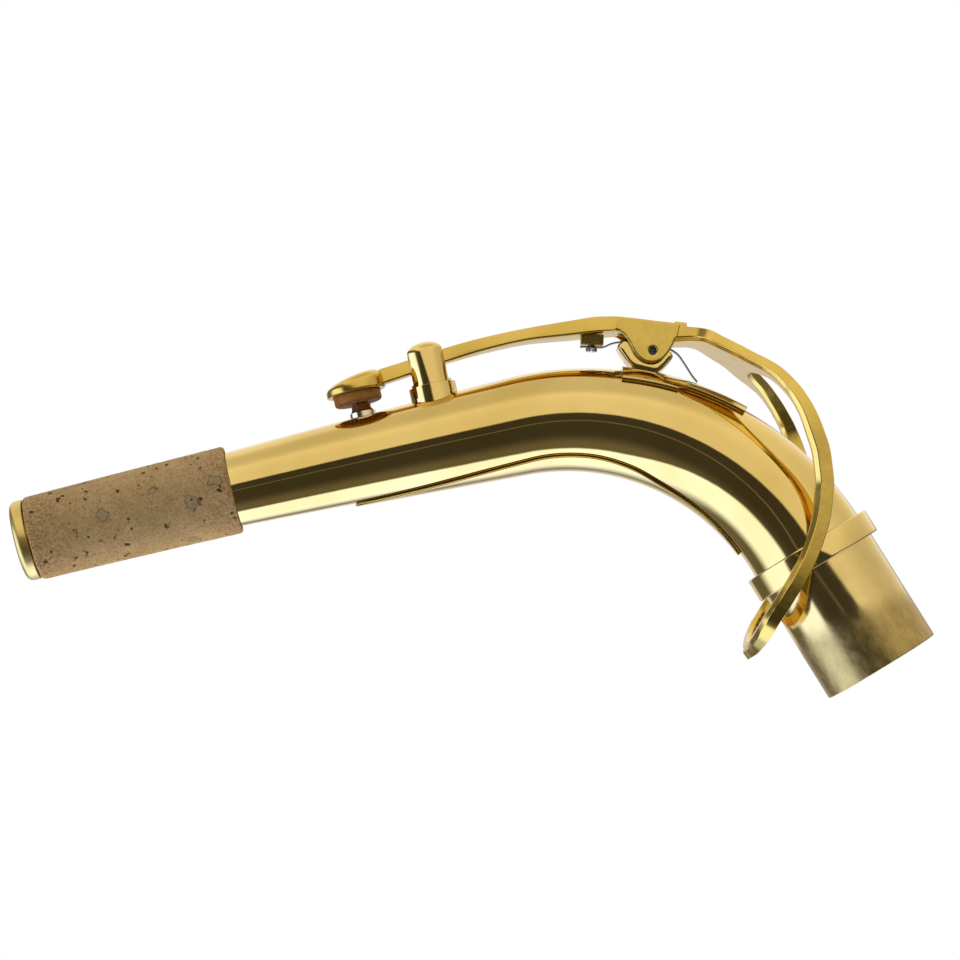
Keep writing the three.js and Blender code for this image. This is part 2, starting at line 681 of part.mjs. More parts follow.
/** The ring that passes round the neck and the collar, with its root at the hood. */
function keyRingLoop() {
  const place = ringPlaces();
  const near = loopShares.map(([alongOut, out, alongIn, inner]) => [
    new THREE.Vector3(alongOut, -out * ringHalfWidth, 0),
    new THREE.Vector3(alongIn, -inner * ringInnerHalfWidth, 0),
  ]);
  const mirrored = (pair) => pair.map(({ x, y }) => new THREE.Vector3(x, -y, 0));
  const far = near.slice(1, -1).reverse().map(mirrored);
  const ribs = [...near, ...far];
  const [outline, opening] = [0, 1].map((column) => (
    new THREE.CatmullRomCurve3(ribs.map((pair) => pair[column]), true)
  ));
  const loop = Array.from({ length: ringSteps }, (_, i) => (
    ringSection(place, outline.getPoint(i / ringSteps), opening.getPoint(i / ringSteps))
  ));
  const root = ringRootShares.map(([along, half]) => {
    const across = half * ringHalfWidth;
    return ringSection(place, new THREE.Vector3(along, -across, 0), new THREE.Vector3(along, across, 0));
  });
  return shapeOf(solid(loft(loop, true)).add(solid(loft(root, false))));
}

/** The cup that holds the pad, with a low crown on its domed top. */
function padCup() {
  const side = cupRim + cup.sideHeight;
  const pocket = pad.radius + flatSeat;
  const dome = Array.from({ length: domeSteps + 1 }, (_, i) => {
    const angle = (Math.PI / 2) * (i / domeSteps);
    return [cup.radius * Math.cos(angle), side + cup.domeHeight * Math.sin(angle)];
  });
  return stood(turned([
    [0, padTop + flatSeat], [pocket, padTop + flatSeat], [pocket, cupRim], [cup.radius, cupRim], ...dome,
  ]), pipStation);
}

/** The leather pad that closes the pip. */
function octavePad() {
  const { radius, edgeRound } = pad;
  return stood(turned([
    [0, padBottom], [radius - edgeRound, padBottom], [radius, padBottom + edgeRound],
    [radius, padTop], [0, padTop],
  ]), pipStation);
}

// The block hangs from the lowest part of the arm over it, and the spring's tail lies under the block
const overBoss = [-1, 0, 1].map((side) => armAt(boss.station + (side * boss.length) / 2));
const bossTop = Math.min(...overBoss.map(({ lift, depth }) => lift - depth / 2)) - seat;
const bossBottom = bossTop - boss.depth;
const springTail = bossBottom - flatSeat - spring.thickness / 2;
const springTailRadius = tube.bendRadius + tubeRadius(boss.station) + springTail;
const springTailHalf = (boss.length / 2) * (tube.bendRadius / springTailRadius);

/** The block under the arm that the spring is screwed to. */
function springBoss() {
  const { station, length, width, depth } = boss;
  const body = block([0, 0, bossBottom + depth / 2], [length, width, depth]);
  const { shankRadius, reach } = springScrew;
  const hole = upright(shankRadius + flatSeat, bossBottom - overrun, bossBottom + reach);
  return stood(shapeOf(solid(body).subtract(solid(hole))), station);
}

/** The slotted screw that holds the spring to its block. */
function springClampScrew() {
  const { headRadius, headHeight, shankRadius, reach, slotWidth, slotDepth } = springScrew;
  const seatHeight = springTail - spring.thickness / 2 - flatSeat;
  const head = seatHeight - headHeight;
  const tip = bossBottom + reach - flatSeat;
  const body = turned([
    [0, head], [headRadius, head], [headRadius, seatHeight], [shankRadius, seatHeight],
    [shankRadius, tip], [0, tip],
  ], smallSides);
  const slot = block([0, 0, head], [slotWidth, 2 * headRadius + 2 * overrun, 2 * slotDepth]);
  return stood(shapeOf(solid(body).subtract(solid(slot))), boss.station);
}

/** The bent blade that keeps the pad closed, its free end on the tongue of the saddle plate. */
function flatSpring() {
  const { width, thickness, restStation } = spring;
  const bends = springShares.map(([along, up]) => (
    nearHinge(along * hinge.barrelRadius, up * hinge.barrelRadius)
  ));
  const points = [
    overTube(boss.station + springTailHalf, springTail), overTube(boss.station, springTail),
    overTube(boss.station - springTailHalf, springTail), ...bends,
    overTube(restStation, plateTop + seat + thickness / 2),
  ];
  const route = new THREE.CatmullRomCurve3(points, false, 'centripetal');
  const sections = Array.from({ length: springSteps + 1 }, (_, i) => {
    const share = i / springSteps;
    return barSection(route.getPointAt(share), route.getTangentAt(share), thickness, width, 0);
  });
  const hole = upright(springScrew.shankRadius + flatSeat, springTail - overrun, springTail + overrun);
  return shapeOf(solid(loft(sections, false)).subtract(solid(stood(hole, boss.station))));
}

/** The long screw that the key turns on, its slotted head sunk in the near cheek. */
function pivotScrew() {
  const length = hood.width - 2 * hinge.sunk;
  const rod = crosswise(hinge.rodRadius, length);
  const slot = block([0, -length / 2, 0], [2 * hinge.barrelRadius, 2 * hinge.slotDepth, hinge.slotWidth]);
  return stood(shapeOf(solid(rod).subtract(solid(slot))), hingeStation, hinge.lift);
}

addPiece('neck_tube', neckTube(), finishes.lacquer);
addPiece('tenon', tenonSleeve(), finishes.tenonBrass);
addPiece('tenon_collar', collarRing(), finishes.lacquer);
addPiece('end_ring', tipRing(), finishes.lacquer);
addPiece('neck_cork', corkSleeve(), finishes.cork);
addPiece('octave_pip', octavePip(), finishes.nickel);
addPiece('guide_foot', guideFoot(), finishes.lacquer);
addPiece('guide_post', guidePost(), finishes.lacquer);
addPiece('saddle_plate', saddlePlate(), finishes.lacquer);
addPiece('saddle_cradle', saddleCradle(), finishes.lacquer);
addPiece('hinge_barrel', hingePost(), finishes.lacquer);
addPiece('underside_brace', undersideBrace(), finishes.lacquer);
addPiece('key_saddle', keyHood(), finishes.lacquer);
addPiece('key_arm', keyArm(), finishes.lacquer);
addPiece('key_ring', keyRingLoop(), finishes.lacquer);
addPiece('pad_cup', padCup(), finishes.lacquer);
addPiece('octave_pad', octavePad(), finishes.leather);
addPiece('spring_boss', springBoss(), finishes.lacquer);
addPiece('spring_screw', springClampScrew(), finishes.screwSteel);
addPiece('flat_spring', flatSpring(), finishes.blueSteel);
addPiece('pivot_screw', pivotScrew(), finishes.screwSteel);

export default neck;
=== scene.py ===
"""An alto saxophone neck with its octave key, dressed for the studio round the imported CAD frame.

Lengths are millimetres in the row frame: +Z runs up the tenon, -X towards the mouthpiece end, and the
neck is symmetric about Y = 0. A station is a length along the neck's centreline from the collar's top.
MM turns a length into Blender's metres.
"""

import logging
import math
from dataclasses import dataclass, field
from enum import Enum

import bmesh
import bpy
import numpy as np
from mathutils import Euler, Matrix, Vector, noise


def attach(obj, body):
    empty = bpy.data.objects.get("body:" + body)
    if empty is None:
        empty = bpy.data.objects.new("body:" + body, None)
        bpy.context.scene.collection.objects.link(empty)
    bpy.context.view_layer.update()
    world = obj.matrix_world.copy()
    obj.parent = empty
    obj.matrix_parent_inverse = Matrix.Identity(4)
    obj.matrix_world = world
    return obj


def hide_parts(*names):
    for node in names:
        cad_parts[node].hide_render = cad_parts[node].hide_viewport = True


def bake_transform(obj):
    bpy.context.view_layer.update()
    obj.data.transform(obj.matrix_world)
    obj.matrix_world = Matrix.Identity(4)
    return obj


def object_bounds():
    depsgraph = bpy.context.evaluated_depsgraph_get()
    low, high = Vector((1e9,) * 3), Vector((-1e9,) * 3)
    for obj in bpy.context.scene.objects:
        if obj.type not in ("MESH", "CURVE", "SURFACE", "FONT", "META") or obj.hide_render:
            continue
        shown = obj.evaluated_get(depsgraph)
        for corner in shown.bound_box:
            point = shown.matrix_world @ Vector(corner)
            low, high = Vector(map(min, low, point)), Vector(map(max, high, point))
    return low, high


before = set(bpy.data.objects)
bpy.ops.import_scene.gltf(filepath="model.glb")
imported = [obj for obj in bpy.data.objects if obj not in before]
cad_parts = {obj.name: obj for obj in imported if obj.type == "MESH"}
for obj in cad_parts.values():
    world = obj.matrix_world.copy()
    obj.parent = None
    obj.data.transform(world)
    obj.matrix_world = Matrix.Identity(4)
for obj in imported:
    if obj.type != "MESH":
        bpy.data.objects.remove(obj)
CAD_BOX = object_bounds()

LOG = logging.getLogger("saxophone_neck")
MM = 0.001
TINY = 1e-9
WHITE, BLACK = (1, 1, 1), (0, 0, 0)

Pair = tuple[float, float]
Triple = tuple[float, float, float]
Fade = tuple[float, float, float, float]
Rows = list[tuple[float, ...]]
Solid = bpy.types.Object
Material = bpy.types.Material
Node = bpy.types.Node
Socket = bpy.types.NodeSocket
Plug = str | int


class Body(Enum):
    """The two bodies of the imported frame."""

    NECK = "neck"
    KEY = "octave_key"


class Slot(Enum):
    """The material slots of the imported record."""

    LACQUER = "lacquered_brass"
    TENON = "tenon_brass"
    CORK = "cork"
    NICKEL = "nickel_silver"
    LEATHER = "pad_leather"
    BLUED = "blued_steel"
    STEEL = "screw_steel"


@dataclass(frozen=True)
class Fineness:
    """How many facets the round and curved forms are given, and what counts as small or sharp."""

    tube_sides: int = 144
    tube_steps: int = 220
    core_steps: int = 60
    turned_sides: int = 96
    small_sides: int = 48
    strip_columns: int = 26
    strip_rows: int = 420
    bar_steps: int = 150
    web_ribs: int = 40
    ring_ribs: int = 260
    spring_steps: int = 120
    hood_steps: tuple[int, int, int] = (40, 60, 30)
    nose_steps: int = 12
    cone_steps: int = 14
    dome_steps: int = 16
    cup_steps: int = 24
    corner_steps: int = 5
    line_samples: int = 40
    longest_fillet: float = 0.45
    same_corner: float = 2e-4
    sliver: float = 1e-4
    sharp_angle: float = 38.0


FINE = Fineness()


# Lines and outlines


class SmoothLine:
    """A smooth curve through points, open or closed, which can be read by span or by length."""

    def __init__(self, points: np.ndarray, closed: bool = False) -> None:
        """Samples the curve.

        Args:
            points: The points that it passes through, one row each.
            closed: Whether it runs back to its first point.
        """
        points = np.asarray(points, float)
        if closed:
            guarded = np.vstack([points[-1], points, points[0], points[1]])
        else:
            guarded = np.vstack([2 * points[0] - points[1], points, 2 * points[-1] - points[-2]])
        spans = len(guarded) - 3
        shares = np.linspace(0, 1, FINE.line_samples, endpoint=False)
        pieces = [self._span(guarded[i:i + 4], shares) for i in range(spans)]
        self.samples = np.vstack([*pieces, guarded[-2][None]])
        self.places = np.linspace(0, 1, len(self.samples))
        steps = np.linalg.norm(np.diff(self.samples, axis=0), axis=1)
        self.lengths = np.concatenate([[0], np.cumsum(steps)]) / steps.sum()

    @staticmethod
    def _span(corners: np.ndarray, shares: np.ndarray) -> np.ndarray:
        """Points along one span.

        Args:
            corners: The span's two points with the one before and the one after.
            shares: Shares of the way along the span.

        Returns:
            One row for each share.
        """
        before, start, end, after = corners
        pairs = ((before, start), (start, end), (end, after))
        gaps = [max(np.linalg.norm(b - a), TINY) ** 0.5 for a, b in pairs]
        leave = (start - before) / gaps[0] - (end - before) / (gaps[0] + gaps[1]) + (end - start) / gaps[1]
        arrive = (end - start) / gaps[1] - (after - start) / (gaps[1] + gaps[2]) + (after - end) / gaps[2]
        leave, arrive = leave * gaps[1], arrive * gaps[1]
        t = shares[:, None]
        curved = 3 * (end - start) - 2 * leave - arrive
        cubed = 2 * (start - end) + leave + arrive
        return start + leave * t + curved * t ** 2 + cubed * t ** 3

    def _read(self, keys: np.ndarray, share: float) -> np.ndarray:
        """The point where the keys reach a share."""
        return np.array([np.interp(share, keys, column) for column in self.samples.T])

    def at(self, share: float) -> np.ndarray:
        """The point a share of the way through the spans."""
        return self._read(self.places, share)

    def along(self, share: float) -> np.ndarray:
        """The point a share of the way along the curve's length."""
        return self._read(self.lengths, share)

    def run(self, share: float) -> np.ndarray:
        """The unit direction of the curve a share of the way along its length."""
        step = 0.5 / len(self.samples)
        change = self.along(min(share + step, 1)) - self.along(max(share - step, 0))
        return change / np.linalg.norm(change)


def read_shares(table: Rows, place: float, column: int = 1) -> float:
    """The value of a table's column at a place, straight between its rows."""
    return float(np.interp(place, [row[0] for row in table], [row[column] for row in table]))


def smoothed(table: Rows, place: float, column: int = 1) -> float:
    """The value of a table's column at a place, on a smooth curve through its rows."""
    line = SmoothLine(np.array([(row[0], row[column]) for row in table]))
    order = np.maximum.accumulate(line.samples[:, 0])
    return float(np.interp(place, order, line.samples[:, 1]))


def filleted(outline: Rows, radius: float, sharp: tuple[int, ...] = ()) -> Rows:
    """Rounds the corners of a closed outline.

    Args:
        outline: The outline's corners.
        radius: How far from each corner the rounding starts.
        sharp: Numbers of the corners that stay as they are.

    Returns:
        The outline with a short curve in place of each corner.
    """
    corners = np.array(outline, float)
    rounded = []
    for i, corner in enumerate(corners):
        before, after = corners[i - 1], corners[(i + 1) % len(corners)]
        if i in sharp:
            rounded.append(tuple(corner))
            continue
        ways = [side - corner for side in (before, after)]
        spans = [np.linalg.norm(way) for way in ways]
        reach = [min(radius, FINE.longest_fillet * span) for span in spans]
        ends = [corner + way / span * far for way, span, far in zip(ways, spans, reach)]
        for turn in np.linspace(0, math.pi / 2, FINE.corner_steps + 1):
            t = math.sin(turn) / (math.sin(turn) + math.cos(turn))
            point = ends[0] * (1 - t) ** 2 + 2 * corner * t * (1 - t) + ends[1] * t ** 2
            rounded.append(tuple(point))
    return rounded


# Meshes


def cleaned(mesh: bpy.types.Mesh) -> None:
    """Merges corners that lie together, drops slivers and turns the faces out.

    Args:
        mesh: The mesh, which is changed in place.
    """
    work = bmesh.new()
    work.from_mesh(mesh)
    bmesh.ops.remove_doubles(work, verts=work.verts, dist=FINE.same_corner * MM)
    bmesh.ops.dissolve_degenerate(work, edges=work.edges, dist=FINE.sliver * MM)
    bmesh.ops.recalc_face_normals(work, faces=work.faces)
    work.to_mesh(mesh)
    work.free()


def make_object(name: str, points: np.ndarray, faces: list[tuple[int, ...]]) -> Solid:
    """A closed mesh object whose faces point out.

    Args:
        name: The object's name.
        points: Corners in millimetres.
        faces: Corner numbers of each face.

    Returns:
        The object, linked to the scene.
    """
    mesh = bpy.data.meshes.new(name)
    mesh.from_pydata((np.asarray(points, float) * MM).tolist(), [], faces)
    cleaned(mesh)
    thing = bpy.data.objects.new(name, mesh)
    bpy.context.scene.collection.objects.link(thing)
    return thing


def loft(name: str, rings: list[np.ndarray], end_to_end: bool = False) -> Solid:
    """A solid through rings of points.

    Args:
        name: The object's name.
        rings: Closed rings with as many points each.
        end_to_end: Whether the last ring joins the first, instead of a face over each end.

    Returns:
        The solid.
    """
    sides = len(rings[0])
    spans = len(rings) if end_to_end else len(rings) - 1
    faces = []
    for i in range(spans):
        here, there = i * sides, (i + 1) % len(rings) * sides
        for j in range(sides):
            k = (j + 1) % sides
            faces.append((here + j, here + k, there + k, there + j))
    if not end_to_end:
        faces += [tuple(range(sides))[::-1], tuple(range((len(rings) - 1) * sides, len(rings) * sides))]
    return make_object(name, np.vstack(rings), faces)


def turned(name: str, profile: Rows, sides: int = FINE.turned_sides) -> Solid:
    """A solid turned about z.

    Args:
        name: The object's name.
        profile: A closed profile of radius and height pairs.
        sides: Facets round the axis.

    Returns:
        The solid.
    """
    angles = np.linspace(0, 2 * math.pi, sides, endpoint=False)
    radii, heights = np.array(profile, float).T
    rings = [np.stack([radii * math.cos(a), radii * math.sin(a), heights], 1) for a in angles]
    return loft(name, rings, end_to_end=True)


def slab(name: str, outline: Rows, width: float) -> Solid:
    """A solid with a side outline of x and z pairs, centred across y."""
    ends = [np.array([(x, side * width / 2, z) for x, z in outline]) for side in (-1, 1)]
    return loft(name, ends)


def upright(radius: float, low: float, high: float) -> Solid:
    """A round bar along z, used as a cutter or a stem."""
    return turned("bar", [(0, low), (radius, low), (radius, high), (0, high)], FINE.small_sides)


def crosswise(radius: float, width: float) -> Solid:
    """A round bar along y, centred on the origin."""
    bar = upright(radius, -width / 2, width / 2)
    bar.data.transform(Matrix.Rotation(math.pi / 2, 4, "X"))
    return bar


def block(centre: Triple, sizes: Triple) -> Solid:
    """A square block, used as a cutter.

    Args:
        centre: Its centre.
        sizes: Its sizes along x, y and z.

    Returns:
        The block.
    """
    low, high = [[centre[k] + side * sizes[k] / 2 for k in range(3)] for side in (-1, 1)]
    outline = [(low[0], low[2]), (high[0], low[2]), (high[0], high[2]), (low[0], high[2])]
    made = slab("block", outline, sizes[1])
    made.data.transform(Matrix.Translation((0, centre[1] * MM, 0)))
    return made


class Joining(Enum):
    """How one solid changes another."""

    CUT = "DIFFERENCE"
    ADD = "UNION"
    MEET = "INTERSECT"


def applied(thing: Solid) -> None:
    """Makes a solid's modifiers part of its mesh.

    Args:
        thing: The solid.
    """
    bpy.context.view_layer.update()
    seen = thing.evaluated_get(bpy.context.evaluated_depsgraph_get())
    made = bpy.data.meshes.new_from_object(seen)
    thing.modifiers.clear()
    thing.data = made


def joined(thing: Solid, how: Joining, *tools: Solid) -> Solid:
    """Joins, cuts or meets a solid with others, which are used up.

    Args:
        thing: The solid that changes.
        how: What the others do to it.
        tools: The other solids.

    Returns:
        The changed solid.
    """
    for tool in tools:
        step = thing.modifiers.new("join", "BOOLEAN")
        step.operation, step.solver, step.object = how.value, "EXACT", tool
        applied(thing)
        bpy.data.objects.remove(tool)
    cleaned(thing.data)
    return thing


def placed(thing: Solid, stand: np.ndarray) -> Solid:
    """Moves a solid's mesh from its own frame to where a 4 by 4 stand in millimetres says.

    Args:
        thing: The solid.
        stand: The stand.

    Returns:
        The same solid.
    """
    stand = stand.copy()
    stand[:3, 3] *= MM
    thing.data.transform(Matrix(stand.tolist()))
    return thing


def eased(thing: Solid, width: float, angle: float = 28.0, segments: int = 3) -> Solid:
    """Breaks a solid's sharp edges, as a finishing file would.

    Args:
        thing: The solid.
        width: How far each edge is broken back.
        angle: The least angle in degrees that counts as an edge.
        segments: Facets across a broken edge.

    Returns:
        The same solid.
    """
    step = thing.modifiers.new("eased_edges", "BEVEL")
    step.width, step.segments = width * MM, segments
    step.limit_method, step.angle_limit = "ANGLE", math.radians(angle)
    step.harden_normals = True
    return thing


def softened(thing: Solid, grain: float = 0.13, passes: int = 5) -> Solid:
    """Gives a solid the even skin and worn-down edges of a polished casting.

    Args:
        thing: The solid.
        grain: Size of the new skin's facets.
        passes: How many times the skin is smoothed.

    Returns:
        The solid with its new skin.
    """
    thing.data.transform(Matrix.Scale(1 / MM, 4))
    skin = thing.modifiers.new("cast_skin", "REMESH")
    skin.mode, skin.voxel_size = "VOXEL", grain
    worn = thing.modifiers.new("worn_edges", "SMOOTH")
    worn.factor, worn.iterations = 0.5, passes
    applied(thing)
    thing.data.transform(Matrix.Scale(MM, 4))
    return thing


# Finishes


class Nodes:
    """A material's node tree, with short calls to add and link its nodes.

    The four numbers are sockets of a colour mix: its share, its two colours and the mixed colour.
    """

    SHARE, FIRST, SECOND, MIXED = 0, 6, 7, 2

    def __init__(self, name: str) -> None:
        """Starts a material with an empty tree.

        Args:
            name: The material's name.
        """
        self.material = bpy.data.materials.new(name)
        self.material.use_nodes = True
        self.tree = self.material.node_tree
        self.tree.nodes.clear()
        self.shader = self.add("ShaderNodeBsdfPrincipled")
        output = self.add("ShaderNodeOutputMaterial")
        self.link(self.shader, "BSDF", output, "Surface")
        self.place = self.add("ShaderNodeTexCoord")

    def add(self, kind: str, **values: object) -> Node:
        """Adds a node.

        Args:
            kind: The node's type.
            values: The node's own properties and, by name, its sockets.

        Returns:
            The node.
        """
        node = self.tree.nodes.new(kind)
        for key, value in values.items():
            if hasattr(node, key):
                setattr(node, key, value)
            else:
                node.inputs[key.replace("_", " ").title()].default_value = value
        return node

    def link(self, start: Node, output: Plug, end: Node, socket: Plug) -> None:
        """Links a node's output to another node's socket."""
        self.tree.links.new(start.outputs[output], end.inputs[socket])

    def noise(self, scale: float, detail: float = 3.0, roughness: float = 0.5,
              stretch: Triple | None = None) -> Node:
        """Noise in the row frame, with its scale in waves to the metre.

        Args:
            scale: Waves to the metre.
            detail: Octaves of finer noise.
            roughness: How strong the finer noise is.
            stretch: Factors on x, y and z, where the grain has a direction.

        Returns:
            The noise node.
        """
        grain = self.add("ShaderNodeTexNoise", Scale=scale, Detail=detail, Roughness=roughness)
        if stretch is None:
            self.link(self.place, "Object", grain, "Vector")
        else:
            self.link(self.stretched(stretch), "Vector", grain, "Vector")
        return grain

    def stretched(self, stretch: Triple) -> Node:
        """The row frame's coordinates, scaled by a factor on each axis.

        Args:
            stretch: The three factors.

        Returns:
            The node that gives them.
        """
        mapping = self.add("ShaderNodeMapping")
        mapping.inputs["Scale"].default_value = stretch
        self.link(self.place, "Object", mapping, "Vector")
        return mapping

    def ramp(self, source: Node, output: Plug, stops: list[tuple[float, tuple]]) -> Node:
        """Colours along a value.

        Args:
            source: The node that gives the value.
            output: Its output.
            stops: Places from 0 to 1 with a colour of three numbers each.

        Returns:
            The ramp node.
        """
        node = self.add("ShaderNodeValToRGB")
        bands = node.color_ramp.elements
        while len(bands) < len(stops):
            bands.new(0.5)
        for band, (place, colour) in zip(bands, stops):
            band.position, band.color = place, (*colour, 1)
        self.link(source, output, node, "Fac")
        return node

    def span(self, source: Node, output: Plug, low: float, high: float,
             start: float = 0.0, end: float = 1.0) -> Node:
        """A value moved from one range to another.

        Args:
            source: The node that gives the value.
            output: Its output.
            low: The new value at the start.
            high: The new value at the end.
            start: Where the old range starts.
            end: Where the old range ends.

        Returns:
            The node that gives the new value.
        """
        node = self.add("ShaderNodeMapRange")
        for key, value in {"From Min": start, "From Max": end, "To Min": low, "To Max": high}.items():
            node.inputs[key].default_value = value
        self.link(source, output, node, "Value")
        return node

    def blend(self, mode: str, share: float, first: Node, second: Node) -> Node:
        """Two colours mixed in a mode, with a fixed share.

        Args:
            mode: How they mix.
            share: How much of the mixed colour shows.
            first: The lower colour.
            second: The upper colour.

        Returns:
            The mix.
        """
        node = self.add("ShaderNodeMix", data_type="RGBA", blend_type=mode)
        node.inputs[self.SHARE].default_value = share
        self.link(first, self.colour(first), node, self.FIRST)
        self.link(second, self.colour(second), node, self.SECOND)
        return node

    def colour(self, node: Node) -> Plug:
        """Where a node gives its colour: the outputs of a mix share one name, so it goes by number."""
        return self.MIXED if node.bl_idname == "ShaderNodeMix" else "Color"

    def cover(self, under: Node, where: Node, colour: Triple) -> Node:
        """A colour laid over another where a mask is white.

        Args:
            under: The colour below.
            where: The mask.
            colour: The colour on top.

        Returns:
            The mix.
        """
        node = self.add("ShaderNodeMix", data_type="RGBA")
        self.link(where, self.colour(where), node, self.SHARE)
        self.link(under, self.colour(under), node, self.FIRST)
        node.inputs[self.SECOND].default_value = (*colour, 1)
        return node

    def total(self, first: Node, output: Plug, second: Node, other: Plug) -> Node:
        """The sum of two values.

        Args:
            first: The node that gives one value.
            output: Its output.
            second: The node that gives the other.
            other: Its output.

        Returns:
            The node that adds them.
        """
        node = self.add("ShaderNodeMath", operation="ADD")
        self.link(first, output, node, 0)
        self.link(second, other, node, 1)
        return node

    def bump(self, source: Node, output: Plug, strength: float, depth: float,
             under: Node | None = None) -> Node:
        """Raises the surface by a value.

        Args:
            source: The node that gives the value.
            output: Its output.
            strength: How strongly it shows.
            depth: The depth in millimetres.
            under: A coarser bump that this one adds to.

        Returns:
            The bump.
        """
        node = self.add("ShaderNodeBump")
        node.inputs["Strength"].default_value = strength
        node.inputs["Distance"].default_value = depth * MM
        self.link(source, output, node, "Height")
        if under is not None:
            self.link(under, "Normal", node, "Normal")
        return node

    def feed(self, source: Node, output: Plug, socket: str) -> None:
        """Links an output to one of the shader's sockets."""
        self.link(source, output, self.shader, socket)

    def set(self, **values: float) -> None:
        """Sets the shader's own sockets, with spaces written as underscores."""
        for key, value in values.items():
            self.shader.inputs[key.replace("_", " ")].default_value = value


@dataclass(frozen=True)
class Lacquer:
    """Polished brass under clear gold lacquer."""

    name: str = "gold_lacquer"
    deep: Triple = (0.68, 0.47, 0.135)
    light: Triple = (0.75, 0.53, 0.17)
    polish: Pair = (0.03, 0.06)
    wave: float = 240.0
    waviness: float = 0.05

    def material(self) -> Material:
        """Slow tone changes, fine haze and a faint waviness left by buffing.

        Returns:
            The material.
        """
        n = Nodes(self.name)
        tone = n.ramp(n.noise(70, detail=2), "Fac", [(0.35, self.deep), (0.65, self.light)])
        n.feed(tone, "Color", "Base Color")
        haze = n.noise(900, detail=4, roughness=0.6)
        n.feed(n.span(haze, "Fac", *self.polish, start=0.3, end=0.7), "Result", "Roughness")
        wave = n.noise(self.wave, detail=2)
        n.feed(n.bump(wave, "Fac", strength=self.waviness, depth=0.25), "Normal", "Normal")
        n.set(Metallic=1.0)
        return n.material


@dataclass(frozen=True)
class TenonBrass:
    """Bare brass, bright under the collar and rubbed dull towards the rim."""

    deep: Triple = (0.66, 0.47, 0.15)
    light: Triple = (0.74, 0.54, 0.2)
    worn_deep: Triple = (0.37, 0.245, 0.07)
    worn_light: Triple = (0.56, 0.385, 0.125)
    bright: float = 0.1
    rubbed: float = 0.36
    fade_top: float = -9.2
    fade_bottom: float = -15.0
    slant: float = 0.13
    ragged: float = 1.8

    def material(self) -> Material:
        """Roughness that grows down the sleeve, with an uneven edge and fine rubbing marks.

        Returns:
            The material.
        """
        n = Nodes("rubbed_tenon_brass")
        axes = n.add("ShaderNodeSeparateXYZ")
        n.link(n.place, "Object", axes, "Vector")
        slant = n.add("ShaderNodeMath", operation="MULTIPLY")
        n.link(axes, "X", slant, 0)
        slant.inputs[1].default_value = self.slant
        ragged = n.span(n.noise(150), "Fac", low=-self.ragged * MM, high=self.ragged * MM)
        height = n.total(n.total(axes, "Z", slant, 0), 0, ragged, "Result")
        worn = n.span(height, 0, low=0, high=1, start=self.fade_top * MM, end=self.fade_bottom * MM)
        worn.interpolation_type = "SMOOTHSTEP"
        patches = n.noise(160, detail=4, roughness=0.6)
        fresh = n.ramp(patches, "Fac", [(0.3, self.deep), (0.7, self.light)])
        marks = n.noise(800, detail=5, roughness=0.7, stretch=(1, 1, 0.5))
        dull = n.ramp(marks, "Fac", [(0.32, self.worn_deep), (0.68, self.worn_light)])
        tone = n.add("ShaderNodeMix", data_type="RGBA")
        n.link(worn, "Result", tone, n.SHARE)
        n.link(fresh, "Color", tone, n.FIRST)
        n.link(dull, "Color", tone, n.SECOND)
        n.feed(tone, n.MIXED, "Base Color")
        uneven = n.add("ShaderNodeMath", operation="MULTIPLY")
        n.link(n.span(worn, "Result", low=self.bright, high=self.rubbed), "Result", uneven, 0)
        n.link(n.span(marks, "Fac", low=0.8, high=1.2, start=0.3, end=0.7), "Result", uneven, 1)
        n.feed(uneven, 0, "Roughness")
        n.feed(n.bump(marks, "Fac", strength=0.1, depth=0.05), "Normal", "Normal")
        n.set(Metallic=1.0)
        return n.material


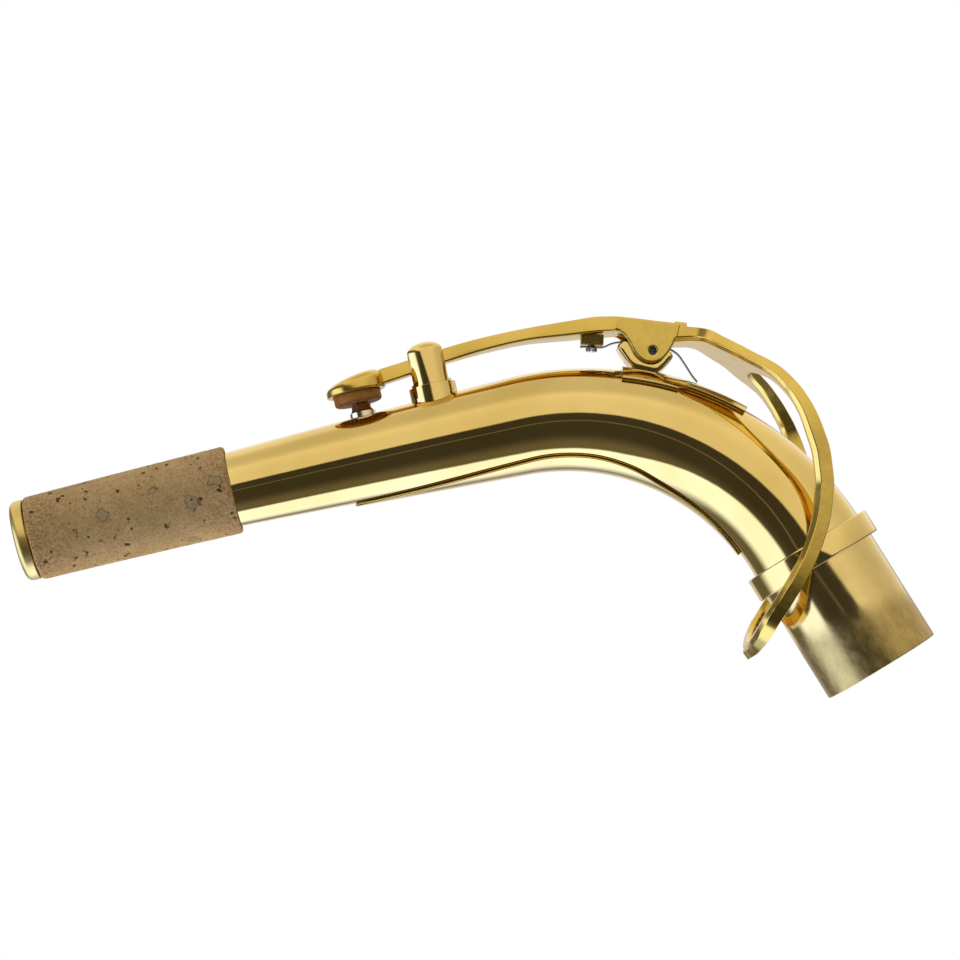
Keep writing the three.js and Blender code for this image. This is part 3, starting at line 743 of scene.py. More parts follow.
@dataclass(frozen=True)
class CorkSheet:
    """Sanded cork with dark pits, greyish lumps and ragged ends."""

    base: Triple = (0.40, 0.262, 0.105)
    pale: Triple = (0.52, 0.355, 0.16)
    pore: Triple = (0.085, 0.035, 0.01)
    grain: Triple = (0.5, 0.4, 0.32)
    scab: Triple = (0.24, 0.115, 0.04)
    lump: Triple = (0.35, 0.25, 0.12)
    outline: Triple = (0.19, 0.12, 0.06)
    ragged_tip: float = 11.0
    ragged_start: float = 7.0
    uneven: float = 3.5

    def material(self) -> Material:
        """Fine grain and mottle, scabs towards the ends, a few lumps with dark outlines, and pits.

        Returns:
            The material.
        """
        n = Nodes("sanded_cork")
        clouds = n.noise(260, detail=5, roughness=0.65)
        mottle = n.ramp(clouds, "Fac", [(0.3, self.base), (0.7, self.pale)])
        grain = n.ramp(n.noise(2100, roughness=0.75), "Fac", [(0.34, self.grain), (0.52, WHITE)])
        tone = n.blend("MULTIPLY", 0.75, mottle, grain)
        scabs = n.ramp(n.noise(1700, detail=4, roughness=0.75), "Fac", [(0.5, BLACK), (0.56, WHITE)])
        tone = n.cover(tone, n.blend("MULTIPLY", 1.0, scabs, self.ends(n)), self.scab)
        warp = n.noise(500)
        lumps = self.cells(n, warp, scale=165, reach=0.0035)
        rare = n.ramp(lumps, "Color", [(0.44, BLACK), (0.46, WHITE)])
        inside = n.ramp(lumps, "Distance", [(0.17, WHITE), (0.19, BLACK)])
        rim = n.ramp(lumps, "Distance", [(0.15, BLACK), (0.175, WHITE), (0.195, WHITE), (0.215, BLACK)])
        tone = n.cover(tone, n.blend("MULTIPLY", 1.0, inside, rare), self.lump)
        tone = n.cover(tone, n.blend("MULTIPLY", 0.9, rim, rare), self.outline)
        small = self.pits(n, warp, scale=520, edge=(0.12, 0.2), rare=0.56)
        large = self.pits(n, warp, scale=290, edge=(0.12, 0.17), rare=0.42)
        holes = n.blend("LIGHTEN", 1.0, small, large)
        n.feed(n.cover(tone, holes, self.pore), n.MIXED, "Base Color")
        rough = n.bump(n.noise(1500, detail=5, roughness=0.7), "Fac", strength=0.6, depth=0.12)
        depth = n.add("ShaderNodeInvert")
        n.link(holes, n.MIXED, depth, "Color")
        n.feed(n.bump(depth, "Color", strength=0.9, depth=0.35, under=rough), "Normal", "Normal")
        n.feed(n.span(mottle, "Color", low=0.95, high=0.8), "Result", "Roughness")
        n.set(Specular_IOR_Level=0.2)
        return n.material

    def ends(self, n: Nodes) -> Node:
        """White towards the sleeve's two ends, fading with a noise, and nearly black between them.

        Args:
            n: The material's nodes.

        Returns:
            The mask, on its colour output.
        """
        start, _, _ = LINE.at(LINE.cork_start)
        tip, _, run = LINE.at(LINE.cork_tip)
        along = n.add("ShaderNodeVectorMath", operation="DOT_PRODUCT")
        along.inputs[1].default_value = tuple(run)
        n.link(n.place, "Object", along, 0)
        play = self.uneven * MM
        uneven = n.span(n.noise(230), "Fac", low=-play, high=play, start=0.2, end=0.8)
        place = n.total(along, "Value", uneven, "Result")
        first, last = float(start @ run) * MM, float(tip @ run) * MM
        span = last - first
        stops = [(0.0, 0.85), (self.ragged_start * MM / span, 0.05),
                 (1 - self.ragged_tip * MM / span, 0.05), (1.0, 0.9)]
        share = n.span(place, 0, low=0, high=1, start=first, end=last)
        return n.ramp(share, "Result", [(at, (v, v, v)) for at, v in stops])

    @staticmethod
    def cells(n: Nodes, warp: Node, scale: float, reach: float) -> Node:
        """Scattered cells whose outlines are bent by a noise.

        Args:
            n: The material's nodes.
            warp: The noise.
            scale: Cells to the metre.
            reach: How far the noise bends them, in metres.

        Returns:
            The node that gives the cells.
        """
        bent = n.add("ShaderNodeVectorMath", operation="MULTIPLY_ADD")
        n.link(warp, "Color", bent, 0)
        bent.inputs[1].default_value = (reach, reach, reach)
        n.link(n.place, "Object", bent, 2)
        cells = n.add("ShaderNodeTexVoronoi", Scale=scale)
        n.link(bent, 0, cells, "Vector")
        return cells

    def pits(self, n: Nodes, warp: Node, scale: float, edge: Pair,
             rare: float) -> Node:
        """White where a pit is.

        Args:
            n: The material's nodes.
            warp: The noise that bends the pits' outlines.
            scale: Cells to the metre, each of which may hold a pit.
            edge: Where a pit starts to fade and where it ends, in cells.
            rare: The share of cells without a pit.

        Returns:
            The mask, on its colour output.
        """
        cells = self.cells(n, warp, scale, reach=0.0025)
        spots = n.ramp(cells, "Distance", [(edge[0], WHITE), (edge[1], BLACK)])
        few = n.ramp(cells, "Color", [(rare, BLACK), (rare + 0.02, WHITE)])
        return n.blend("MULTIPLY", 1.0, spots, few)


@dataclass(frozen=True)
class PlainMetal:
    """A small turned or plated metal part."""

    name: str
    deep: Triple
    light: Triple
    polish: Pair = (0.12, 0.22)
    grain: float = 1400.0

    def material(self) -> Material:
        """Slight tone changes and fine tool marks.

        Returns:
            The material.
        """
        n = Nodes(self.name)
        tone = n.ramp(n.noise(450), "Fac", [(0.3, self.deep), (0.7, self.light)])
        n.feed(tone, "Color", "Base Color")
        marks = n.noise(self.grain, detail=4, roughness=0.6, stretch=(1, 1, 0.25))
        n.feed(n.span(marks, "Fac", *self.polish, start=0.3, end=0.7), "Result", "Roughness")
        n.feed(n.bump(marks, "Fac", strength=0.15, depth=0.02), "Normal", "Normal")
        n.set(Metallic=1.0)
        return n.material


@dataclass(frozen=True)
class PadLeather:
    """Tan leather over felt."""

    deep: Triple = (0.24, 0.088, 0.014)
    light: Triple = (0.42, 0.175, 0.035)

    def material(self) -> Material:
        """Fine pebbled grain with darker folds.

        Returns:
            The material.
        """
        n = Nodes("tan_pad_leather")
        stains = n.noise(380, detail=5, roughness=0.6)
        n.feed(n.ramp(stains, "Fac", [(0.3, self.deep), (0.7, self.light)]), "Color", "Base Color")
        pebbles = n.add("ShaderNodeTexVoronoi", Scale=2600)
        n.link(n.place, "Object", pebbles, "Vector")
        n.feed(n.span(pebbles, "Distance", low=0.42, high=0.62), "Result", "Roughness")
        n.feed(n.bump(pebbles, "Distance", strength=0.35, depth=0.06), "Normal", "Normal")
        n.set(Specular_IOR_Level=0.2)
        return n.material


class Finishes:
    """One material for each slot of the record, and those of pieces that were worked otherwise, with one
    steel made nearly black as painted shade.
    """

    def __init__(self) -> None:
        """Makes the materials."""
        nickel = PlainMetal("bright_nickel_silver", deep=(0.60, 0.50, 0.30), light=(0.74, 0.63, 0.40),
                            polish=(0.1, 0.18))
        blued = PlainMetal("blued_spring_steel", deep=(0.02, 0.022, 0.026), light=(0.06, 0.062, 0.066))
        steel = PlainMetal("turned_steel", deep=(0.22, 0.2, 0.16), light=(0.36, 0.33, 0.27))
        cast = Lacquer("cast_key_lacquer", deep=(0.61, 0.4, 0.072), light=(0.71, 0.475, 0.1),
                       polish=(0.16, 0.22), wave=330.0, waviness=0.06)
        rubbed = Lacquer("rubbed_ring_lacquer", deep=(0.6, 0.42, 0.11), light=(0.74, 0.52, 0.15),
                         polish=(0.3, 0.4), wave=330.0, waviness=0.1)
        # Steel for the pivot rod, made nearly black: painted shade for the recess in the hood's cheek where
        # its end sits.
        dark = PlainMetal("steel_painted_recess_shade", deep=(0.05, 0.05, 0.055), light=(0.1, 0.1, 0.11),
                          polish=(0.3, 0.42))
        self.of = {
            Slot.LACQUER: Lacquer().material(),
            Slot.TENON: TenonBrass().material(),
            Slot.CORK: CorkSheet().material(),
            Slot.NICKEL: nickel.material(),
            Slot.LEATHER: PadLeather().material(),
            Slot.BLUED: blued.material(),
            Slot.STEEL: steel.material(),
        }
        self.cast = cast.material()
        self.sheet = Lacquer("sheet_lacquer", polish=(0.13, 0.18)).material()
        self.rubbed = rubbed.material()
        self.dark = dark.material()


@dataclass
class Bench:
    """Where finished pieces are dressed and fixed to the frame."""

    finishes: Finishes = field(default_factory=Finishes)
    made: list[Solid] = field(default_factory=list)

    def settle(self, thing: Solid, name: str, body: Body | None, slot: Slot, *nodes: str,
               finish: Material | None = None) -> Solid:
        """Dresses a piece and gives it to its body.

        Args:
            thing: The piece.
            name: Its final name.
            body: The body that it rides on, or None for a piece that spans the two and is given to neither.
            slot: The record's slot that it takes its finish from.
            nodes: The CAD nodes that it stands for.
            finish: Its material, where that isn't the slot's first one.

        Returns:
            The piece.
        """
        thing.name = thing.data.name = name
        thing.data.materials.clear()
        thing.data.materials.append(finish or self.finishes.of[slot])
        thing.data.shade_smooth()
        thing.data.set_sharp_from_angle(angle=math.radians(FINE.sharp_angle))
        if body is not None:
            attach(thing, body.value)
        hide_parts(*nodes)
        self.made.append(thing)
        LOG.info("%s: %d faces, for %s", name, len(thing.data.polygons), ", ".join(nodes))
        return thing


# The neck


@dataclass(frozen=True)
class Clearances:
    """The gaps between neighbouring pieces, and the seam of solder that closes most of them."""

    seat: float = 0.3
    flat: float = 0.15
    slide: float = 0.4
    overrun: float = 1.0
    solder: float = 0.04


GAP = Clearances()


@dataclass(frozen=True)
class NeckLine:
    """The neck's centreline and taper, which every other piece is placed by."""

    collar_height: float = 4.8
    bend_radius: float = 53.5
    bend_turn: float = 71.0
    reach_length: float = 101.7
    reach_turn: float = 2.0
    base_radius: float = 11.9
    cork_end_radius: float = 7.5
    tip_radius: float = 6.6
    wall: float = 0.7
    cork_length: float = 41.0
    end_grip: float = 1.6

    @property
    def bend_length(self) -> float:
        """Length of the bend."""
        return self.bend_radius * math.radians(self.bend_turn)

    @property
    def length(self) -> float:
        """Station of the tube's tip."""
        return self.bend_length + self.reach_length

    @property
    def cork_tip(self) -> float:
        """Station where the cork ends beside the end ring."""
        return self.length - self.end_grip - GAP.seat

    @property
    def cork_start(self) -> float:
        """Station where the cork starts."""
        return self.cork_tip - self.cork_length

    def radius(self, station: float) -> float:
        """Outside radius of the tube at a station."""
        stations = [0, self.cork_start, self.length]
        return float(np.interp(station, stations, [self.base_radius, self.cork_end_radius, self.tip_radius]))

    def at(self, station: float) -> tuple[np.ndarray, np.ndarray, np.ndarray]:
        """The neck at a station.

        Args:
            station: Length along the centreline from the collar's top.

        Returns:
            The centre, the normal away from the bend and the direction towards the tip.
        """
        turn = min(max(station / self.bend_radius, 0), math.radians(self.bend_turn))
        normal = np.array([math.cos(turn), 0, math.sin(turn)])
        centre = np.array([-self.bend_radius, 0, self.collar_height]) + self.bend_radius * normal
        centre[2] += min(station, 0)
        if station > self.bend_length:
            reach_radius = self.reach_length / math.radians(self.reach_turn)
            turn += (station - self.bend_length) / reach_radius
            further = np.array([math.cos(turn), 0, math.sin(turn)])
            centre += reach_radius * (further - normal)
            normal = further
        return centre, normal, np.array([-normal[2], 0, normal[0]])

    def over(self, station: float, lift: float) -> np.ndarray:
        """A point over the top of the tube, in the plane of symmetry."""
        centre, normal, _ = self.at(station)
        return centre + normal * (self.radius(station) + lift)

    def stand(self, station: float, lift: float = 0.0) -> np.ndarray:
        """A frame on top of the tube: x towards the tenon, y across, z away from the tube.

        Args:
            station: Where it stands.
            lift: How far it stands off the tube.

        Returns:
            The frame, as a 4 by 4 matrix.
        """
        _, normal, direction = self.at(station)
        made = np.eye(4)
        made[:3, 0], made[:3, 1], made[:3, 2] = -direction, (0, 1, 0), normal
        made[:3, 3] = self.over(station, lift)
        return made

    def ring(self, station: float, radius: float, sides: int = FINE.tube_sides) -> np.ndarray:
        """A ring of points round the centreline."""
        centre, normal, _ = self.at(station)
        angles = np.linspace(0, 2 * math.pi, sides, endpoint=False)[:, None]
        return centre + radius * (np.cos(angles) * normal + np.sin(angles) * np.array([0, 1, 0]))

    def core(self, middle: float, reach: float, clearance: float) -> Solid:
        """The neck's outside near a station, grown by a clearance, as a cutter."""
        stations = np.linspace(middle - reach, middle + reach, FINE.core_steps)
        return loft("core", [self.ring(s, self.radius(s) + clearance) for s in stations])

    def scribed(self, thing: Solid, station: float, reach: float, clearance: float) -> Solid:
        """Cuts off a standing piece what reaches into the tube."""
        return joined(thing, Joining.CUT, self.core(station, reach, clearance))


LINE = NeckLine()


@dataclass
class NeckTube:
    """The tube, its tenon and collar, and the ring and cork at the mouthpiece end."""

    tenon_radius: float = 12.2
    tenon_wall: float = 0.7
    tenon_length: float = 23.4
    rim_round: float = 0.28
    collar_wall: float = 1.15
    collar_round: float = 0.42
    end_radius: float = 8.1
    end_nose: float = 1.4
    end_lip: float = 0.9
    end_edge: float = 0.12
    lip_edge: float = 0.2
    cork_inner_end: float = 8.9
    cork_tip_end: float = 8.4
    cork_steps: int = 150
    worn_end: float = 0.7
    worn_drop: float = 0.35
    cork_dent: float = 0.13
    dent_gain: float = 1.3
    dent_waves: Rows = field(default_factory=lambda: [(0.55, 4), (1.7, 3)])
    vent_hole: float = 1.65
    vent_station: float = 96.5

    @property
    def joint(self) -> float:
        """Height where the tenon and the tube meet inside the collar."""
        return LINE.collar_height / 2

    @property
    def collar_bore(self) -> float:
        """Inside radius of the collar."""
        return max(self.tenon_radius, LINE.base_radius) + GAP.seat

    @property
    def collar_radius(self) -> float:
        """Outside radius of the collar."""
        return self.collar_bore + self.collar_wall

    def tube(self) -> Solid:
        """The bent, tapered tube with the hole under the vent.

        Returns:
            The tube.
        """
        start = self.joint + GAP.flat - LINE.collar_height
        stations = [start, *np.linspace(0, LINE.bend_length, FINE.tube_steps // 2),
                    *np.linspace(LINE.bend_length, LINE.length, FINE.tube_steps // 2)[1:]]
        outside = [LINE.ring(s, LINE.radius(s)) for s in stations]
        inside = [LINE.ring(s, LINE.radius(s) - LINE.wall) for s in stations]
        wall = loft("tube", outside + inside[::-1], end_to_end=True)
        drill = upright(self.vent_hole, -LINE.wall - 2 * GAP.overrun, GAP.overrun)
        return joined(wall, Joining.CUT, placed(drill, LINE.stand(self.vent_station)))

    def tenon(self) -> Solid:
        """The plain sleeve that slides into the instrument.

        Returns:
            The sleeve.
        """
        bore = self.tenon_radius - self.tenon_wall
        top = self.joint - GAP.flat
        outline = [(bore, -self.tenon_length), (self.tenon_radius, -self.tenon_length),
                   (self.tenon_radius, top), (bore, top)]
        return turned("tenon", filleted(outline, self.rim_round, (2, 3)), FINE.tube_sides)

    def collar(self) -> Solid:
        """The seating collar, with softly broken edges."""
        height = LINE.collar_height
        outline = [(self.collar_bore, 0), (self.collar_radius, 0), (self.collar_radius, height),
                   (self.collar_bore, height)]
        return turned("collar", filleted(outline, self.collar_round, (0, 3)), FINE.tube_sides)

    def end_ring(self) -> Solid:
        """The rounded ring that caps the tip of the tube.

        Returns:
            The ring, where it sits.
        """
        bore = LINE.tip_radius - LINE.wall
        grip = LINE.radius(LINE.cork_tip) + GAP.seat
        front = self.end_lip + GAP.flat
        back = -LINE.end_grip
        nose = []
        for t in np.linspace(0, math.pi / 2, FINE.nose_steps):
            radius = self.end_radius - self.end_nose * (1 - math.cos(t))
            nose.append((radius, front - self.end_nose * (1 - math.sin(t))))
        outline = [(grip, back), (self.end_radius - self.end_edge, back),
                   (self.end_radius, self.end_edge + back), *nose, (bore + self.lip_edge, front),
                   (bore, front - self.lip_edge), (bore, GAP.flat), (grip, GAP.flat)]
        ring = turned("end_ring", outline, FINE.tube_sides)
        centre, normal, direction = LINE.at(LINE.length)
        stand = np.eye(4)
        stand[:3, 0], stand[:3, 1], stand[:3, 2], stand[:3, 3] = normal, (0, 1, 0), direction, centre
        return placed(ring, stand)

    def dent(self, spot: Vector) -> float:
        """How deep the sanding left the cork at a spot."""
        depth = sum(noise.fractal(spot * scale, 1.0, 2.0, octaves) / 2 for scale, octaves in self.dent_waves)
        return self.cork_dent * (abs(depth) * self.dent_gain)

    def cork(self) -> Solid:
        """The cork sleeve, with a slightly uneven, hand-sanded surface and soft ends.

        Returns:
            The sleeve.
        """
        stations = np.linspace(LINE.cork_start, LINE.cork_tip, self.cork_steps)
        rings = []
        for station in stations:
            share = (station - LINE.cork_start) / LINE.cork_length
            radius = self.cork_inner_end + (self.cork_tip_end - self.cork_inner_end) * share
            from_end = min(station - LINE.cork_start, LINE.cork_tip - station)
            radius -= self.worn_drop * max(0.0, 1 - from_end / self.worn_end) ** 2
            ring = LINE.ring(station, 1.0)
            centre = LINE.at(station)[0]
            dents = [self.dent(Vector(centre + (point - centre) * radius)) for point in ring]
            dents = np.minimum(np.array(dents), 2 * self.cork_dent)[:, None]
            rings.append(centre + (ring - centre) * (radius - dents))
        inside = [LINE.ring(s, LINE.radius(s) + GAP.seat) for s in stations]
        return loft("cork", rings + inside[::-1], end_to_end=True)

    def build(self, bench: Bench) -> None:
        """Makes the five pieces.

        Args:
            bench: Where finished pieces go.
        """
        bench.settle(self.tube(), "tube_wall", Body.NECK, Slot.LACQUER, "neck_tube")
        bench.settle(self.tenon(), "tenon_sleeve", Body.NECK, Slot.TENON, "tenon")
        bench.settle(self.collar(), "collar_band", Body.NECK, Slot.LACQUER, "tenon_collar")
        bench.settle(self.end_ring(), "tip_ring", Body.NECK, Slot.LACQUER, "end_ring",
                     finish=bench.finishes.rubbed)
        bench.settle(self.cork(), "cork_sleeve", Body.NECK, Slot.CORK, "neck_cork")


@dataclass
class Vent:
    """The small vent tube under the octave pad."""

    station: float = 96.5
    top_radius: float = 1.85
    flange_radius: float = 2.6
    flange_height: float = 0.8
    height: float = 2.3
    stem_radius: float = 1.5
    bore_radius: float = 0.8
    reach: float = 1.2
    edge: float = 0.1
    cone: Rows = field(default_factory=lambda: [(2.3, 0.95), (2.1, 1.35)])

    def build(self, bench: Bench) -> None:
        """Makes the vent: a flange, a coned top and a bored stem through the tube's wall.

        Args:
            bench: Where finished pieces go.
        """
        stand = LINE.stand(self.station)
        cone = SmoothLine(np.array([(self.flange_radius - self.edge, self.flange_height), *self.cone,
                                    (self.top_radius, self.height)]))
        outline = [(0, -self.stem_radius), (self.flange_radius, -self.stem_radius),
                   (self.flange_radius, self.flange_height - self.edge)]
        outline += [tuple(cone.along(share)) for share in np.linspace(0, 1, FINE.cone_steps)]
        above = placed(turned("vent", [*outline, (0, self.height)]), stand)
        above = LINE.scribed(above, self.station, 2 * self.flange_radius, GAP.solder)
        bottom = -LINE.wall - self.reach
        stem = placed(upright(self.stem_radius, bottom, self.flange_height / 2), stand)
        bore = upright(self.bore_radius, bottom - GAP.overrun, self.height + GAP.overrun)
        vent = joined(joined(above, Joining.ADD, stem), Joining.CUT, placed(bore, stand))
        bench.settle(vent, "octave_vent", Body.NECK, Slot.NICKEL, "octave_pip")


@dataclass
class KeyArm:
    """The bar that runs from the hood to the pad cup."""

    lift: float = 7.6
    depth: float = 2.5
    width: float = 5.2
    edge: float = 0.42
    root_edge: float = 0.16
    sunk: float = 0.8
    slope: float = 0.1
    sunk_play: float = 0.1
    mouth_play: float = 0.01
    look_ahead: float = 0.004
    edge_growth: float = 6.0
    shares: Rows = field(default_factory=lambda: [
        (0.05, 1.107, 1.25, 1.72), (0.14, 1.03, 1.2, 1.55), (0.32, 0.997, 1.0, 1.22),
        (0.51, 1.013, 1.06, 0.97), (0.67, 0.998, 1.14, 0.7), (0.79, 0.965, 1.14, 0.65),
        (0.91, 0.91, 1.2, 0.62), (1.0, 0.882, 1.24, 0.6),
    ])

    def span(self, hood: "Hood", cup: "PadCup") -> Pair:
        """Stations where the bar starts and ends."""
        root = hood.station - hood.arm_end * hood.station / (hood.station + self.lift)
        return root, cup.station - cup.radius - GAP.seat

    def at(self, station: float, hood: "Hood", cup: "PadCup") -> Triple:
        """Lift, depth and width of the bar at a station.

        Args:
            station: The station.
            hood: The hood that the bar starts in.
            cup: The cup that it ends in.

        Returns:
            The three sizes.
        """
        root, end = self.span(hood, cup)
        along = (station - root) / (end - root)
        lift, depth, width = (read_shares(self.shares, along, k) for k in (1, 2, 3))
        return lift * self.lift, depth * self.depth, width * self.width

    def section(self, centre: np.ndarray, run: np.ndarray, depth: float, width: float,
                edge: float) -> np.ndarray:
        """A rounded section square to the bar's run.

        Args:
            centre: Its centre.
            run: The direction that the bar runs in.
            depth: Its height.
            width: Its width along the lower face.
            edge: How far its corners are rounded.

        Returns:
            Its ring of points.
        """
        rise = np.array([run[2], 0, -run[0]]) / math.hypot(run[0], run[2])
        low, high, near, far = -depth / 2, depth / 2, -width / 2, width / 2
        lean = self.slope * depth
        outline = filleted([(near, low), (far, low), (far - lean, high), (near + lean, high)], edge)
        return np.array([centre + rise * up + np.array([0, across, 0]) for across, up in outline])

    def build(self, bench: Bench, hood: "Hood", cup: "PadCup") -> None:
        """Makes the bar on one smooth line over the tube.

        Args:
            bench: Where finished pieces go.
            hood: The hood that the bar starts in.
            cup: The cup that it ends in.
        """
        root, end = self.span(hood, cup)
        middle = hood.top_shares[0][1] * hood.crown - hood.end_depth / 2
        route = [hood.near(hood.arm_end, middle)]
        sizes = [(hood.end_depth, hood.arm_width)]
        for along, lift, depth, width in self.shares:
            route.append(LINE.over(root + (end - root) * along, lift * self.lift))
            sizes.append((depth * self.depth, width * self.width))
        route, sizes = SmoothLine(np.array(route)), SmoothLine(np.array([(*size, 0) for size in sizes]))
        outwards = hood.near(-1, 0) - hood.near(0, 0)
        rings = []
        for along, play in ((self.sunk, self.sunk_play), (0, self.mouth_play)):
            centre = hood.near(hood.arm_end + along, middle)
            depth, width = hood.end_depth - play, hood.arm_width - play
            rings.append(self.section(centre, outwards, depth, width, self.root_edge))
        for share in np.linspace(0, 1, FINE.bar_steps)[2:]:
            ahead = route.at(min(share + self.look_ahead, 1)) - route.at(share - self.look_ahead)
            depth, width, _ = sizes.at(share)
            growth = (self.edge - self.root_edge) * share * self.edge_growth
            edge = min(self.root_edge + growth, self.edge)
            rings.append(self.section(route.at(share), ahead, depth, width, edge))
        ahead /= np.linalg.norm(ahead)
        last = route.at(1) + ahead * (GAP.seat + self.sunk)
        rings.append(self.section(last, ahead, depth, width, edge))
        bench.settle(loft("arm", rings), "octave_arm", Body.KEY, Slot.LACQUER, "key_arm",
                     finish=bench.finishes.cast)


@dataclass
class GuidePost:
    """The slotted post that keeps the key arm in line, and the foot that it stands in."""

    station: float = 81.8
    radius: float = 4.1
    height: float = 11.4
    dome: float = 2.2
    foot_radius: float = 4.75
    foot_height: float = 2.3
    spigot: float = 2.2
    slot_below: float = 2.9
    chamfer: float = 0.1
    post_edge: float = 0.12
    foot_edge: float = 0.18

    def build(self, bench: Bench, arm: KeyArm, hood: "Hood", cup: "PadCup") -> None:
        """Makes the post and the foot.

        Args:
            bench: Where finished pieces go.
            arm: The arm that passes through the slot.
            hood: The hood at one end of the arm.
            cup: The cup at its other end.
        """
        stand = LINE.stand(self.station)
        side = self.height - self.dome
        turns = np.linspace(0, math.pi / 2, FINE.dome_steps)
        dome = [(self.radius * math.cos(t), side + self.dome * math.sin(t)) for t in turns]
        top = self.foot_height + GAP.solder
        outline = [(0, -self.spigot), (self.spigot, -self.spigot), (self.spigot, top),
                   (self.radius - self.chamfer, top), (self.radius, top + self.chamfer), *dome]
        post = turned("post", outline)
        lift, depth, width = arm.at(self.station, hood, cup)
        floor = lift - depth / 2 - self.slot_below
        tall = self.height + GAP.overrun - floor
        slot = block((0, 0, floor + tall / 2), (4 * self.radius, width + 2 * GAP.slide, tall))
        post = LINE.scribed(placed(post, stand), self.station, 2 * self.radius, GAP.solder)
        post = joined(post, Joining.CUT, placed(slot, stand))
        bench.settle(eased(post, self.post_edge), "guide_pillar", Body.NECK, Slot.LACQUER, "guide_post")
        outline = [(0, -self.foot_radius), (self.foot_radius, -self.foot_radius),
                   (self.foot_radius, self.foot_height), (0, self.foot_height)]
        foot = placed(turned("foot", outline), stand)
        low, high = -self.foot_radius - GAP.overrun, self.foot_height + GAP.overrun
        hole = placed(upright(self.spigot + GAP.flat, low, high), stand)
        foot = LINE.scribed(foot, self.station, 2 * self.foot_radius, GAP.solder)
        foot = joined(foot, Joining.CUT, hole)
        bench.settle(eased(foot, self.foot_edge), "pillar_foot", Body.NECK, Slot.LACQUER, "guide_foot")


@dataclass
class Strips:
    """The thin plates soldered along the tube: the hinge's plate and the brace under the bend."""

    hinge_station: float = 42.9
    saddle_thickness: float = 0.5
    saddle_half: float = 7.8
    saddle_shares: Rows = field(default_factory=lambda: [
        (1.1, 1.0), (1.04, 1.0), (0.98, 1.0), (0.92, 1.0), (0.87, 1.0), (0.835, 0.8),
        (0.77, 0.8), (0.7, 0.8), (0.64, 0.8), (0.59, 0.8),
    ])
    edge: float = 0.2
    brace_thickness: float = 0.55
    brace_half: float = 6.3
    brace_start: float = 7.0
    brace_end: float = 102.0
    brace_shares: Rows = field(default_factory=lambda: [
        (0, 0.08), (0.09, 0.22), (0.18, 0.34), (0.27, 0.52), (0.37, 0.86), (0.47, 1.0),
        (0.56, 0.98), (0.67, 0.83), (0.78, 0.6), (0.89, 0.33), (1, 0.08),
    ])

    def strip(self, name: str, rows: Rows, side: int, clearance: float, thickness: float) -> Solid:
        """A strip that lies along the tube.

        Args:
            name: The object's name.
            rows: Station and half-width pairs.
            side: 1 over the tube or -1 under it.
            clearance: The gap to the tube.
            thickness: The strip's thickness.

        Returns:
            The strip.
        """
        soft = self.edge
        first, last = rows[0], rows[-1]
        ends = [(first[0], first[1] - soft, soft), (first[0] + soft, first[1], 0)]
        ends += [(last[0] - soft, last[1], 0), (last[0], last[1] - soft, soft)]
        rings = []
        for station, half, inset in [*ends[:2], *((*row, 0) for row in rows[1:-1]), *ends[2:]]:
            centre, normal, _ = LINE.at(station)
            radius = LINE.radius(station) + clearance
            reach = (radius + thickness) * math.asin(min(half / (radius + thickness), 1))
            low, high = inset, thickness - inset
            corners = filleted([(-reach, low), (reach, low), (reach, high), (-reach, high)], soft)
            corner = FINE.corner_steps + 1
            fill = np.linspace(0, 1, FINE.strip_columns)[1:-1]
            outline = []
            for start, end in ((0, 2), (2, 4)):
                outline += corners[start * corner:(start + 1) * corner]
                a, b = corners[(start + 1) * corner - 1], corners[(start + 1) * corner]
                outline += [(a[0] + (b[0] - a[0]) * t, a[1]) for t in fill]
                outline += corners[(start + 1) * corner:end * corner]
            ring = []
            for along, offset in outline:
                turn = along / (radius + thickness)
                spot = side * math.cos(turn) * normal + math.sin(turn) * np.array([0, 1, 0])
                ring.append(centre + (radius + offset) * spot)
            rings.append(np.array(ring))
        return loft(name, rings)

    def build(self, bench: Bench) -> None:
        """Makes the two strips.

        Args:
            bench: Where finished pieces go.
        """
        table = self.saddle_shares[::-1]
        shares = np.linspace(table[0][0], table[-1][0], FINE.strip_rows)
        rows = [(share * self.hinge_station, read_shares(table, share) * self.saddle_half)
                for share in shares]
        thickness = self.saddle_thickness + GAP.seat - GAP.solder
        saddle = self.strip("saddle", rows, 1, GAP.solder, thickness)
        bench.settle(saddle, "hinge_plate", Body.NECK, Slot.LACQUER, "saddle_plate",
                     finish=bench.finishes.sheet)
        shares = np.linspace(0, 1, FINE.strip_rows)
        stations = self.brace_start + (self.brace_end - self.brace_start) * shares
        rows = [(station, smoothed(self.brace_shares, share) * self.brace_half)
                for station, share in zip(stations, shares)]
        brace = self.strip("brace", rows, -1, GAP.solder, self.brace_thickness + GAP.flat - GAP.solder)
        bench.settle(brace, "bend_brace", Body.NECK, Slot.LACQUER, "underside_brace",
                     finish=bench.finishes.sheet)


